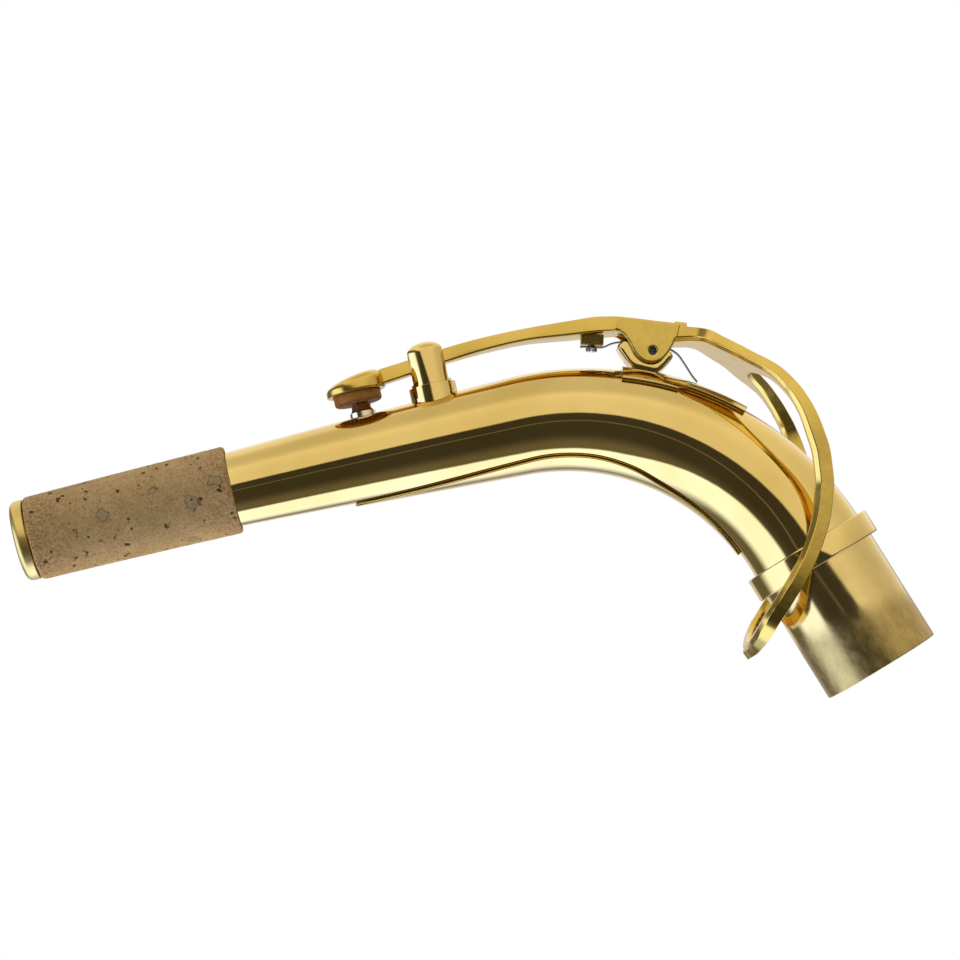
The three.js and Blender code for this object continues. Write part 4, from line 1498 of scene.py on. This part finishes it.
@dataclass
class HingePost:
    """The fixed half of the hinge: a hollowed cradle, a stem and the cross barrel."""

    station: float = 42.9
    lift: float = 4.17
    barrel_radius: float = 1.6
    rod_radius: float = 0.75
    stem_radius: float = 1.45
    top: float = 0.9
    hollow_radius: float = 2.5
    squareness: float = 9.0
    edge: float = 0.1
    swell: Rows = field(default_factory=lambda: [
        (-4.1, -3.0, 1.9, 3.4), (-3.4, -3.6, 2.25, 3.46), (-3.0, -4.2, 2.6, 3.48), (-2.6, -4.8, 2.9, 3.48),
        (-1.8, -5.65, 3.4, 3.46), (-1.0, -6.5, 3.85, 3.42), (-0.4, -7.0, 4.15, 3.39), (0.2, -6.9, 4.3, 3.36),
        (0.9, -6.4, 3.9, 3.32),
    ])

    def cradle(self, plate_top: float) -> Solid:
        """The fork with a wing on each side of the barrel, which swells up and out from the stem.

        Args:
            plate_top: Height of the hinge plate's face over the tube.

        Returns:
            The fork, where it stands.
        """
        flare = SmoothLine(np.array(self.swell))
        turns = np.linspace(0, 2 * math.pi, FINE.small_sides * 2, endpoint=False)
        across, along = (np.sign(wave) * np.abs(wave) ** (2 / self.squareness)
                         for wave in (np.sin(turns), np.cos(turns)))
        rings = []
        for share in np.linspace(0, 1, FINE.small_sides):
            height, arm_side, tenon_side, half = flare.at(share)
            middle, reach = (arm_side + tenon_side) / 2, (tenon_side - arm_side) / 2
            rings.append(np.stack([middle + reach * along, half * across, np.full(len(turns), height)], 1))
        hole = upright(self.stem_radius + GAP.flat, -2 * self.lift, self.top)
        hollow = crosswise(self.hollow_radius, 4 * self.hollow_radius)
        cut = joined(loft("cradle", rings), Joining.CUT, hole, hollow)
        cut = placed(cut, LINE.stand(self.station, self.lift))
        return LINE.scribed(cut, self.station, 4 * self.lift, plate_top + GAP.solder)

    def build(self, bench: Bench, hood: "Hood", strips: Strips) -> None:
        """Makes the cradle and the barrel on its stem.

        Args:
            bench: Where finished pieces go.
            hood: The hood that the barrel fits between the cheeks of.
            strips: The strips, whose plate the hinge stands on.
        """
        plate_top = GAP.seat + strips.saddle_thickness
        cradle = eased(self.cradle(plate_top), self.edge)
        bench.settle(cradle, "hinge_cradle", Body.NECK, Slot.LACQUER, "saddle_cradle")
        half = hood.width / 2 - hood.cheek - GAP.slide
        barrel = crosswise(self.barrel_radius, 2 * half)
        stem = upright(self.stem_radius, -self.lift, -self.rod_radius)
        bore = crosswise(self.rod_radius + GAP.flat, 2 * half + 2 * GAP.overrun)
        post = joined(joined(barrel, Joining.ADD, stem), Joining.CUT, bore)
        post = placed(post, LINE.stand(self.station, self.lift))
        post = LINE.scribed(post, self.station, 2 * self.lift, plate_top + GAP.solder)
        bench.settle(eased(post, self.edge), "hinge_post", Body.NECK, Slot.LACQUER, "hinge_barrel")


# The octave key


@dataclass
class Hood:
    """The hood over the hinge, with a cheek down each side of the barrel."""

    station: float = 42.9
    lift: float = 4.17
    width: float = 10.0
    arm_width: float = 9.3
    cheek: float = 1.2
    roof: float = 2.4
    length: float = 12.5
    crown: float = 6.2
    rod_radius: float = 0.75
    end_room: float = 0.9
    shoulder_width: float = 6.4
    end_slack: float = 0.01
    wear: int = 14
    flare_shares: Rows = field(default_factory=lambda: [
        (-0.66, 0), (-0.6, 0.04), (-0.54, 0.15), (-0.47, 0.4), (-0.4, 0.68), (-0.33, 0.88),
        (-0.26, 0.97), (-0.18, 1),
    ])
    top_shares: Rows = field(default_factory=lambda: [
        (-0.66, 0.868), (-0.39, 0.924), (-0.06, 0.985), (0.19, 1.04), (0.34, 1.06),
    ])
    shoulder_shares: Rows = field(default_factory=lambda: [
        (0.235, 0.9), (0.24, 1.15), (0.44, 1.2), (0.47, 1.0), (0.34, 0.8),
    ])
    cheek_shares: Rows = field(default_factory=lambda: [
        (0.34, 0.6), (0.31, 0.5), (0.28, 0.23), (0.22, -0.07), (0.14, -0.27), (0.03, -0.38), (-0.08, -0.39),
        (-0.167, -0.33), (-0.27, -0.18), (-0.384, 0.1), (-0.48, 0.28), (-0.56, 0.385), (-0.66, 0.41),
    ])

    @property
    def arm_end(self) -> float:
        """Where the hood meets the arm, along from the pivot."""
        return self.top_shares[0][0] * self.length

    @property
    def ring_end(self) -> float:
        """Where the hood meets the ring, along from the pivot."""
        return self.top_shares[-1][0] * self.length

    @property
    def end_depth(self) -> float:
        """Depth of the hood where it meets the arm."""
        return (self.top_shares[0][1] - self.cheek_shares[-1][1]) * self.crown

    def near(self, along: float, up: float) -> np.ndarray:
        """A point given in the hinge's frame, in the plane of symmetry."""
        return (LINE.stand(self.station, self.lift) @ np.array([along, 0, up, 1]))[:3]

    def sized(self, shares: Rows) -> Rows:
        """A table of shares in millimetres."""
        return [(along * self.length, up * self.crown) for along, up in shares]

    def build(self, bench: Bench) -> None:
        """Makes the hood from its side outline, its plan and its channel.

        Args:
            bench: Where finished pieces go.
        """
        top_steps, cheek_steps, flare_steps = FINE.hood_steps
        cheek = SmoothLine(np.array(self.sized(self.cheek_shares)))
        top = SmoothLine(np.array(self.sized(self.top_shares)))
        side = [tuple(top.along(share)) for share in np.linspace(0, 1, top_steps)]
        side += [tuple(cheek.along(share)) for share in np.linspace(0, 1, cheek_steps)]
        side = [(x - self.end_room, z) if x <= self.arm_end + self.end_slack else (x, z) for x, z in side]
        narrow, wide, tall = self.arm_width / 2, self.width / 2, 2 * (self.crown + self.length)
        spread = [(x * self.length, narrow + y * (wide - narrow)) for x, y in self.flare_shares]
        flare = SmoothLine(np.array(spread))
        half = [(self.arm_end - self.end_room, narrow)]
        half += [tuple(flare.along(share)) for share in np.linspace(0, 1, flare_steps)]
        half.append((self.ring_end + GAP.overrun, wide))
        plan = [(x, -y) for x, y in half] + half[::-1]
        levels = [np.array([(x, y, z) for x, y in plan]) for z in (-tall / 2, tall / 2)]
        body = joined(slab("hood", side, self.width + GAP.overrun), Joining.MEET, loft("plan", levels))
        ceiling = self.top_shares[0][1] * self.crown - self.roof
        room = (2 * self.length, self.width - 2 * self.cheek, 2 * self.crown)
        channel = block((0, 0, ceiling - self.crown), room)
        rod_hole = crosswise(self.rod_radius + GAP.flat / 2, self.width + 2 * GAP.overrun)
        shoulder = slab("shoulder", self.sized(self.shoulder_shares), self.shoulder_width)
        body = joined(joined(body, Joining.ADD, shoulder), Joining.CUT, channel, rod_hole)
        body = softened(body, passes=self.wear)
        spare = block((self.arm_end - self.length, 0, 0), (2 * self.length, 2 * self.width, tall))
        body = placed(joined(body, Joining.CUT, spare), LINE.stand(self.station, self.lift))
        bench.settle(body, "hinge_hood", Body.KEY, Slot.LACQUER, "key_saddle", finish=bench.finishes.cast)


@dataclass
class KeyRing:
    """The forked ring that passes round the neck and the collar."""

    lift: float = 10.8
    bar_width: float = 3.0
    clearance: float = 0.55
    thickness: float = 3.0
    bevel: float = 0.27
    draft: float = 0.4
    draft_end: float = 0.6
    root_lap: float = 0.6
    root_sunk: float = 0.12
    length: float = 108.0
    edge: float = 0.2
    edge_angle: float = 24.0
    inner_side: int = 4
    profile_shares: Rows = field(default_factory=lambda: [
        (0.844, 1.015), (0.781, 0.959), (0.725, 0.915), (0.669, 0.863), (0.613, 0.838), (0.56, 0.804),
        (0.486, 0.694), (0.421, 0.564), (0.364, 0.427), (0.309, 0.279), (0.256, 0.134), (0.206, -0.038),
        (0.149, -0.233), (0.114, -0.384), (0.065, -0.585), (0.022, -0.772), (-0.017, -0.959),
        (-0.056, -1.154), (-0.094, -1.362), (-0.123, -1.553), (-0.156, -1.784), (-0.182, -1.995),
        (-0.213, -2.235), (-0.24, -2.465), (-0.269, -2.673), (-0.292, -2.845), (-0.307, -2.99),
        (-0.31, -3.14),
    ])
    thickness_shares: Rows = field(default_factory=lambda: [
        (0, 1.05), (0.03, 0.9), (0.06, 0.86), (0.16, 0.78), (0.25, 0.78), (0.35, 0.95), (0.42, 1.12),
        (0.5, 1.16), (0.62, 1.16), (0.7, 1.1), (0.8, 1.1), (0.9, 1.08), (0.95, 1), (1, 0.8),
    ])
    web_shares: Rows = field(default_factory=lambda: [
        (0, 0.276, 0, 0), (0.043, 0.33, 0.05, 0), (0.088, 0.445, 0.115, 0), (0.115, 0.485, 0.165, 0),
    ])
    loop_shares: Rows = field(default_factory=lambda: [
        (0.14, 0.53, 0.205, 0), (0.165, 0.6, 0.214, 0.22), (0.19, 0.675, 0.234, 0.43),
        (0.24, 0.8, 0.268, 0.65), (0.297, 0.9, 0.312, 0.83), (0.345, 0.965, 0.364, 0.95), (0.43, 1, 0.43, 1),
        (0.52, 1, 0.52, 1), (0.61, 1, 0.61, 1), (0.7, 1, 0.7, 1), (0.78, 1, 0.78, 1),
        (0.85, 0.985, 0.845, 0.98), (0.9, 0.93, 0.888, 0.91), (0.94, 0.79, 0.92, 0.74),
        (0.97, 0.5, 0.942, 0.46), (0.99, 0.24, 0.955, 0.22), (1, 0, 0.96, 0),
    ])

    def build(self, bench: Bench, hood: Hood, neck: NeckTube) -> None:
        """Makes the ring as two mirrored halves that share the plane of symmetry.

        Args:
            bench: Where finished pieces go.
            hood: The hood that the ring grows from.
            neck: The neck that it passes round.
        """
        points = [hood.near(hood.ring_end - self.root_lap, hood.crown - self.root_sunk)]
        points += [LINE.over(along * hood.station, lift * self.lift) for along, lift in self.profile_shares]
        curve = SmoothLine(np.array(points))
        inner_half = neck.collar_radius + self.clearance
        outer_half = inner_half + self.bar_width
        rows = self.web_shares + self.loop_shares
        outline = SmoothLine(np.array([(row[0], row[1] * outer_half) for row in rows]))
        opening = SmoothLine(np.array([(row[2], row[3] * inner_half) for row in self.loop_shares]))
        web = len(self.web_shares) / (len(rows) - 1)

        def place(along: float, across: float, depth: float) -> np.ndarray:
            """A point of the ring.

            Args:
                along: Its share of the way along the profile.
                across: Its distance from the plane of symmetry.
                depth: Its depth below the outer face, as a share of the thickness.

            Returns:
                The point.
            """
            along = min(max(along, 0), 1)
            run = curve.run(along)
            thickness = read_shares(self.thickness_shares, along) * self.thickness
            point = curve.along(along) + np.array([run[2], 0, -run[0]]) * depth * thickness
            return point + np.array([0, across, 0])

        ribs = []
        shares = np.concatenate([np.linspace(0, web, FINE.web_ribs, endpoint=False),
                                 np.linspace(web, 1, FINE.ring_ribs)])
        inside = [*self.web_shares, self.loop_shares[0]]
        web_line = SmoothLine(np.array([(row[2], row[3]) for row in inside]))
        for share in shares:
            start = outline.at(share)
            in_web = share < web
            end = web_line.at(share / web) if in_web else opening.at((share - web) / (1 - web))
            gap = math.hypot((end[0] - start[0]) * self.length, end[1] - start[1])
            cut = min(self.bevel * self.bar_width / gap, self.bevel)
            lean = min(self.draft * max(1 - end[0] / self.draft_end, 0), abs(end[1]) / 2) / gap
            spots = [(0, 0), (0, 1 - self.bevel), (cut, 1), (1 if in_web else 1 + lean - cut, 1),
                     (1 + lean, 1 if in_web else 1 - self.bevel), (1, 0)]
            rib = []
            for across, depth in spots:
                spot = start + (end - start) * across
                rib.append(place(spot[0], -spot[1], depth))
            ribs.append((in_web, rib))
        halves = [np.array([rib for _, rib in ribs]).reshape(-1, 3)]
        halves.append(halves[0] * np.array([1, -1, 1]))
        sides, faces = len(ribs[0][1]), []
        for base in (0, len(halves[0])):
            for i in range(len(ribs) - 1):
                for k in range(sides):
                    if k == self.inner_side and ribs[i][0]:
                        continue
                    a, b = base + i * sides + k, base + i * sides + (k + 1) % sides
                    faces.append((a, b, b + sides, a + sides))
            faces.append(tuple(base + k for k in range(sides)))
        ring = make_object("ring", np.vstack(halves), faces)
        ring = eased(ring, self.edge, self.edge_angle)
        bench.settle(ring, "octave_ring", Body.KEY, Slot.LACQUER, "key_ring",
                     finish=bench.finishes.cast)


@dataclass
class PadCup:
    """The cup at the end of the arm, and the leather pad in it."""

    station: float = 96.5
    radius: float = 6.0
    rim_depth: float = 0.5
    rim_round: float = 0.4
    side_height: float = 0.9
    dome: float = 2.5
    fullness: float = 0.6
    tilt: float = 0.2
    aside: float = 0.3
    pad_radius: float = 4.8
    pad_thickness: float = 2.6
    pad_round: float = 0.7
    vent_height: float = 2.3

    @property
    def pad_bottom(self) -> float:
        """Height of the pad's face over the tube."""
        return self.vent_height + GAP.seat

    def build(self, bench: Bench) -> None:
        """Makes the cup and the pad.

        Args:
            bench: Where finished pieces go.
        """
        stand = LINE.stand(self.station + self.aside)
        top = self.pad_bottom + self.pad_thickness
        rim = top - self.rim_depth
        side = rim + self.side_height
        pocket = self.pad_radius + GAP.flat
        lip, dome = [], []
        for t in np.linspace(0, math.pi / 2, FINE.cup_steps):
            radius = self.radius - self.rim_round * (1 - math.sin(t))
            lip.append((radius, rim + self.rim_round * (1 - math.cos(t))))
            radius = self.radius * max(math.cos(t), 0) ** self.fullness
            dome.append((radius, side + self.dome * math.sin(t) ** self.fullness))
        cup = turned("cup", [(0, top + GAP.flat), (pocket, top + GAP.flat), (pocket, rim), *lip, *dome])
        for corner in cup.data.vertices:
            over = max(corner.co.z / MM - rim, 0) / (side + self.dome - rim)
            corner.co.z += self.tilt * corner.co.x * over
        bench.settle(placed(cup, stand), "cup_shell", Body.KEY, Slot.LACQUER, "pad_cup",
                     finish=bench.finishes.cast)
        bottom, radius = self.pad_bottom, self.pad_radius
        corners = [(0, bottom), (radius, bottom), (radius, top), (0, top)]
        outline = filleted(corners, self.pad_round, (0, 2, 3))
        pad = placed(turned("pad", outline), stand)
        bench.settle(pad, "leather_pad", Body.KEY, Slot.LEATHER, "octave_pad")


@dataclass
class KeySpring:
    """The spring's block, its clamp screw, the leaf spring and the pivot screw."""

    block_station: float = 52.4
    block_length: float = 4.6
    block_width: float = 4.0
    block_depth: float = 1.45
    block_taper: float = 0.12
    head_radius: float = 1.15
    head_height: float = 0.7
    shank_radius: float = 0.5
    reach: float = 1.2
    slot_width: float = 0.35
    slot_depth: float = 0.3
    leaf_width: float = 1.6
    leaf_thickness: float = 0.22
    rest_station: float = 34.5
    sunk: float = 0.5
    block_edge: float = 0.15
    screw_edge: float = 0.15
    leaf_edge: float = 0.05
    notch: float = 0.3
    bend_from: float = -6.5
    bend_to: float = 9.0
    leaf_shares: Rows = field(default_factory=lambda: [
        (-5.1, 0.26), (-3.49, 0.89), (-1.4, 1.34), (0, 1.42), (1.2, 1.36), (2.5, 1.06), (3.3, 0.7),
        (4.4, -0.3), (5.5, -1.42),
    ])

    def build(self, bench: Bench, arm: KeyArm, hood: Hood, cup: PadCup, strips: Strips,
              post: HingePost) -> None:
        """Makes the four pieces.

        Args:
            bench: Where finished pieces go.
            arm: The arm that the block is soldered under.
            hood: The hood that the leaf passes under.
            cup: The cup at the end of the arm.
            strips: The strips, whose plate the leaf rests on.
            post: The hinge's fixed half.
        """
        half = self.block_length / 2
        over = [arm.at(self.block_station + side * half, hood, cup) for side in (-1, 0, 1)]
        top = min(lift - depth / 2 for lift, depth, _ in over) - GAP.seat
        bottom = top - self.block_depth
        tail = bottom - GAP.flat - self.leaf_thickness / 2
        stand = LINE.stand(self.block_station)
        tall = self.block_depth + 2 * GAP.seat
        body = block((0, 0, bottom + tall / 2), (self.block_length, self.block_width, tall))
        for corner in body.data.vertices:
            corner.co.y *= 1 if corner.co.z / MM > bottom + tall / 2 else 1 - self.block_taper
        hole = upright(self.shank_radius + GAP.flat, bottom - GAP.overrun, bottom + self.reach)
        body = placed(joined(body, Joining.CUT, hole), stand)
        bench.settle(eased(body, self.block_edge), "spring_block", Body.KEY, Slot.LACQUER, "spring_boss",
                     finish=bench.finishes.cast)
        seat = tail - self.leaf_thickness / 2 - GAP.flat
        head = seat - self.head_height
        tip = bottom + self.reach - GAP.flat
        outline = [(0, head), (self.head_radius, head), (self.head_radius, seat), (self.shank_radius, seat),
                   (self.shank_radius, tip), (0, tip)]
        screw = turned("clamp", filleted(outline, self.screw_edge, (0, 3, 4, 5)), FINE.small_sides)
        slot = block((0, 0, head), (self.slot_width, 4 * self.head_radius, 2 * self.slot_depth))
        screw = placed(joined(screw, Joining.CUT, slot), stand)
        bench.settle(screw, "spring_clamp", Body.KEY, Slot.STEEL, "spring_screw")
        self.leaf(bench, hood, strips, post, tail)
        self.pivot(bench, hood, post)

    def pivot(self, bench: Bench, hood: Hood, post: HingePost) -> None:
        """Makes the pivot screw, slotted at the end that shows.

        Args:
            bench: Where finished pieces go.
            hood: The hood whose cheeks hold it.
            post: The hinge's fixed half, which turns on it.
        """
        length = hood.width - 4 * self.sunk
        rod = crosswise(post.rod_radius, length)
        notch = block((0, -length / 2, 0), (4 * post.rod_radius, 2 * self.notch, self.notch))
        rod = placed(joined(rod, Joining.CUT, notch), LINE.stand(hood.station, hood.lift))
        # The rod's near-black steel is painted shade for the recess that its sunk end sits in.
        bench.settle(rod, "pivot_rod", Body.KEY, Slot.STEEL, "pivot_screw", finish=bench.finishes.dark)

    def leaf(self, bench: Bench, hood: Hood, strips: Strips, post: HingePost, tail: float) -> None:
        """Makes the bent leaf, which is clamped to the key and rests on the hinge's plate.

        Args:
            bench: Where finished pieces go.
            hood: The hood that the leaf passes under.
            strips: The strips, whose plate it rests on.
            post: The hinge's fixed half, which it passes.
            tail: Height of its clamped end over the tube.
        """
        arc = LINE.bend_radius + LINE.radius(self.block_station) + tail
        half = self.block_length / 2 * LINE.bend_radius / arc
        rest = GAP.seat + strips.saddle_thickness + GAP.seat + self.leaf_thickness / 2
        points = [LINE.over(self.block_station + along, tail) for along in (half, 0, -half)]
        points += [hood.near(along * post.barrel_radius, up * post.barrel_radius)
                   for along, up in self.leaf_shares]
        points.append(LINE.over(self.rest_station, rest))
        route = SmoothLine(np.array(points))
        rings = []
        for share in np.linspace(0, 1, FINE.spring_steps):
            run = route.run(share)
            rise = np.array([run[2], 0, -run[0]]) / math.hypot(run[0], run[2])
            low, wide = self.leaf_thickness / 2, self.leaf_width / 2
            corners = filleted([(-wide, -low), (wide, -low), (wide, low), (-wide, low)], self.leaf_edge)
            middle = route.along(share)
            rings.append(np.array([middle + rise * up + np.array([0, y, 0]) for y, up in corners]))
        leaf = loft("leaf", rings)
        hole = upright(self.shank_radius + GAP.flat, tail - GAP.overrun, tail + GAP.overrun)
        hole = placed(hole, LINE.stand(self.block_station))
        leaf = joined(leaf, Joining.CUT, hole)
        bench.settle(leaf, "leaf_spring", None, Slot.BLUED, "flat_spring")
        start, end = hood.near(self.bend_from, 0), hood.near(self.bend_to, 0)
        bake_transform(leaf)


# The studio


@dataclass(frozen=True)
class Camera:
    """The photograph's camera, fitted to the neck."""

    place: Triple = (-87.51, -586.42, -2.09)
    pan: float = 3.78
    tilt: float = 5.061
    roll: float = 31.55
    lens: float = 110.625
    sensor: float = 36.0
    clip: Pair = (0.01, 20.0)

    def turn(self) -> Matrix:
        """The camera's rotation in the row frame."""
        aim = Euler((math.radians(90 + self.tilt), 0, math.radians(-self.pan))).to_matrix()
        return aim @ Matrix.Rotation(math.radians(-self.roll), 3, "Z")

    def build(self) -> None:
        """Makes the camera and gives it to the scene."""
        data = bpy.data.cameras.new("studio_camera")
        data.lens, data.sensor_width = self.lens, self.sensor
        data.clip_start, data.clip_end = self.clip
        camera = bpy.data.objects.new("studio_camera", data)
        camera.matrix_world = Matrix.Translation([x * MM for x in self.place]) @ self.turn().to_4x4()
        bpy.context.scene.collection.objects.link(camera)
        bpy.context.scene.camera = camera


class Sky:
    """The world's node tree, with short calls that work on the direction that a ray leaves in."""

    def __init__(self, name: str) -> None:
        """Starts a world with an empty tree.

        Args:
            name: The world's name.
        """
        world = bpy.data.worlds.new(name)
        world.use_nodes = True
        bpy.context.scene.world = world
        self.tree = world.node_tree
        self.tree.nodes.clear()
        self.direction = self.tree.nodes.new("ShaderNodeTexCoord").outputs["Generated"]

    def lean(self, axis: Vector) -> Socket:
        """How far a direction leans along an axis, from -1 to 1.

        Args:
            axis: The axis, of length 1.

        Returns:
            The lean.
        """
        node = self.tree.nodes.new("ShaderNodeVectorMath")
        node.operation = "DOT_PRODUCT"
        node.inputs[1].default_value = axis
        self.tree.links.new(self.direction, node.inputs[0])
        return node.outputs["Value"]

    def ease(self, value: Socket, start: float, end: float, low: float,
             high: float) -> Socket:
        """A value that eases from one level to another.

        Args:
            value: The value.
            start: Where the easing starts.
            end: Where it ends.
            low: The level at the start.
            high: The level at the end.

        Returns:
            The eased value.
        """
        node = self.tree.nodes.new("ShaderNodeMapRange")
        node.interpolation_type = "SMOOTHSTEP"
        node.inputs["From Min"].default_value, node.inputs["From Max"].default_value = start, end
        node.inputs["To Min"].default_value, node.inputs["To Max"].default_value = low, high
        self.tree.links.new(value, node.inputs["Value"])
        return node.outputs["Result"]

    def join(self, kind: str, *values: Socket) -> Socket:
        """Values joined by a sum, a product, a difference or the larger of each pair.

        Args:
            kind: The operation.
            values: The values, taken from left to right.

        Returns:
            What they come to.
        """
        joint = values[0]
        for value in values[1:]:
            node = self.tree.nodes.new("ShaderNodeMath")
            node.operation = kind
            self.tree.links.new(joint, node.inputs[0])
            self.tree.links.new(value, node.inputs[1])
            joint = node.outputs[0]
        return joint

    def glow(self, colour: Triple, strength: Socket | None = None) -> Socket:
        """Light of one colour.

        Args:
            colour: Its colour.
            strength: Its strength, where it isn't even.

        Returns:
            The light.
        """
        node = self.tree.nodes.new("ShaderNodeBackground")
        node.inputs["Color"].default_value = (*colour, 1)
        if strength is not None:
            self.tree.links.new(strength, node.inputs["Strength"])
        return node.outputs[0]

    def both(self, first: Socket, second: Socket) -> Socket:
        """Two lights together.

        Args:
            first: One light.
            second: The other.

        Returns:
            Both.
        """
        node = self.tree.nodes.new("ShaderNodeAddShader")
        self.tree.links.new(first, node.inputs[0])
        self.tree.links.new(second, node.inputs[1])
        return node.outputs[0]

    def either(self, ray: str, other: Socket, then: Socket) -> Socket:
        """One light for a kind of ray and another light for the rest.

        Args:
            ray: The kind of ray.
            other: The light for the rest.
            then: The light for that kind.

        Returns:
            The chosen light.
        """
        rays = self.tree.nodes.new("ShaderNodeLightPath")
        node = self.tree.nodes.new("ShaderNodeMixShader")
        self.tree.links.new(rays.outputs[ray], node.inputs[0])
        self.tree.links.new(other, node.inputs[1])
        self.tree.links.new(then, node.inputs[2])
        return node.outputs[0]

    def finish(self, light: Socket) -> None:
        """Makes a light the world's own."""
        output = self.tree.nodes.new("ShaderNodeOutputWorld")
        self.tree.links.new(light, output.inputs["Surface"])


@dataclass(frozen=True)
class Studio:
    """A white room: a big soft light above, a dark side behind the camera and a bright table beyond.

    A fade holds the lean where it starts, the lean where it ends and its levels at the two.
    """

    room_light: Triple = (1.0, 0.99, 0.97)
    table_mirrored: Triple = (1.35, 1.79, 3.3)
    table_shed: Triple = (2.4, 2.2, 1.75)
    light_side: float = 6.0
    lower_side: float = 19.0
    left_side: float = 59.0
    above: Fade = (0.17, 0.23, 0.0, 0.95)
    less_overhead: Fade = (0.8, 0.96, 1.0, 0.66)
    less_on_right: Fade = (0.45, 0.95, 1.0, 0.6)
    none_on_left: Fade = (-0.41, -0.36, 0.0, 1.0)
    backdrop_place: Fade = (-0.8, -0.9, 0.0, 1.0)
    backdrop: Fade = (0.1, 0.35, 0.62, 0.3)
    dusk: Fade = (0.85, 0.45, 0.06, 0.18)
    streak_start: Fade = (-0.14, -0.11, 0.0, 0.16)
    streak_end: Fade = (-0.08, -0.11, 0.0, 1.0)
    table: Fade = (-0.13, -0.24, 0.0, 1.0)
    near_place: Fade = (-0.2, -0.62, 0.25, 0.62)
    near_edge: Fade = (0.05, -0.05, 0.0, 1.0)
    far_place: Fade = (-0.2, -0.72, -0.65, -0.26)
    far_edge: Fade = (-0.2, 0.2, 0.0, 1.0)
    floor_size: float = 3000.0
    floor_gap: float = 0.5

    def surroundings(self, camera: Camera) -> None:
        """Makes the world that the brass mirrors and that lights the cork.

        Args:
            camera: The camera, whose rest directions the room's sides are given by.
        """
        turn = camera.turn()
        right, up, back = turn.col[0], turn.col[1], turn.col[2]
        towards = [right * math.sin(math.radians(turned)) + up * math.cos(math.radians(turned))
                   for turned in (self.light_side, self.lower_side, self.left_side)]
        sky = Sky("studio_surroundings")
        lit, lowered, left = (sky.lean(axis) for axis in towards)
        aside, raised, behind = sky.lean(right), sky.lean(up), sky.lean(back)
        dip = sky.join("MULTIPLY", sky.ease(raised, *self.less_overhead),
                       sky.ease(aside, *self.less_on_right), sky.ease(left, *self.none_on_left))
        top = sky.join("MULTIPLY", sky.ease(lit, *self.above), dip)
        edge = sky.join("MULTIPLY", sky.ease(behind, *self.backdrop_place), sky.ease(aside, *self.backdrop))
        top = sky.join("MAXIMUM", top, edge)
        dusk = sky.ease(behind, *self.dusk)
        streak = sky.join("MULTIPLY", sky.ease(lit, *self.streak_start), sky.ease(lit, *self.streak_end))
        near = sky.join("SUBTRACT", behind, sky.ease(aside, *self.near_place))
        far = sky.join("SUBTRACT", behind, sky.ease(aside, *self.far_place))
        table = sky.join("MULTIPLY", sky.ease(lowered, *self.table), sky.ease(near, *self.near_edge),
                         sky.ease(far, *self.far_edge))
        room = sky.glow(self.room_light, sky.join("ADD", top, dusk, streak))
        mirrored = sky.both(room, sky.glow(self.table_mirrored, table))
        shed = sky.both(room, sky.glow(self.table_shed, table))
        light = sky.either("Is Diffuse Ray", mirrored, shed)
        sky.finish(sky.either("Is Camera Ray", light, sky.glow((1, 1, 1))))

    def floor(self) -> None:
        """Makes the pale floor under the tenon, which only the camera sees."""
        low = CAD_BOX[0].z / MM - self.floor_gap
        half = self.floor_size / 2
        points = np.array([(-half, -half, low), (half, -half, low), (half, half, low), (-half, half, low)])
        mesh = bpy.data.meshes.new("studio_floor")
        mesh.from_pydata((points * MM).tolist(), [], [(0, 1, 2, 3)])
        floor = bpy.data.objects.new("studio_floor", mesh)
        bpy.context.scene.collection.objects.link(floor)
        material = bpy.data.materials.new("pale_floor")
        material.use_nodes = True
        tree = material.node_tree
        tree.nodes.clear()
        glow = tree.nodes.new("ShaderNodeEmission")
        clear = tree.nodes.new("ShaderNodeBsdfTransparent")
        side = tree.nodes.new("ShaderNodeNewGeometry")
        mix = tree.nodes.new("ShaderNodeMixShader")
        output = tree.nodes.new("ShaderNodeOutputMaterial")
        tree.links.new(side.outputs["Backfacing"], mix.inputs[0])
        tree.links.new(glow.outputs[0], mix.inputs[1])
        tree.links.new(clear.outputs[0], mix.inputs[2])
        tree.links.new(mix.outputs[0], output.inputs["Surface"])
        mesh.materials.append(material)
        floor.visible_diffuse = floor.visible_glossy = False
        floor.visible_transmission = floor.visible_shadow = False

    def build(self, camera: Camera) -> None:
        """Makes the surroundings and the floor, and shows colours as the photograph does.

        Args:
            camera: The camera.
        """
        self.surroundings(camera)
        self.floor()
        view = bpy.context.scene.view_settings
        view.view_transform, view.look = "Standard", "None"


def main() -> None:
    """Builds the camera, the neck, the key and the studio, in that order."""
    logging.basicConfig(level=logging.INFO, format="%(name)s: %(message)s")
    camera = Camera()
    camera.build()
    bench = Bench()
    neck, hood, cup = NeckTube(), Hood(), PadCup()
    arm, strips, post = KeyArm(), Strips(), HingePost()
    neck.build(bench)
    Vent().build(bench)
    GuidePost().build(bench, arm, hood, cup)
    strips.build(bench)
    post.build(bench, hood, strips)
    hood.build(bench)
    arm.build(bench, hood, cup)
    KeyRing().build(bench, hood, neck)
    cup.build(bench)
    KeySpring().build(bench, arm, hood, cup, strips, post)
    Studio().build(camera)
    LOG.info("%d pieces in all", len(bench.made))


if __name__ == "__main__":
    main()
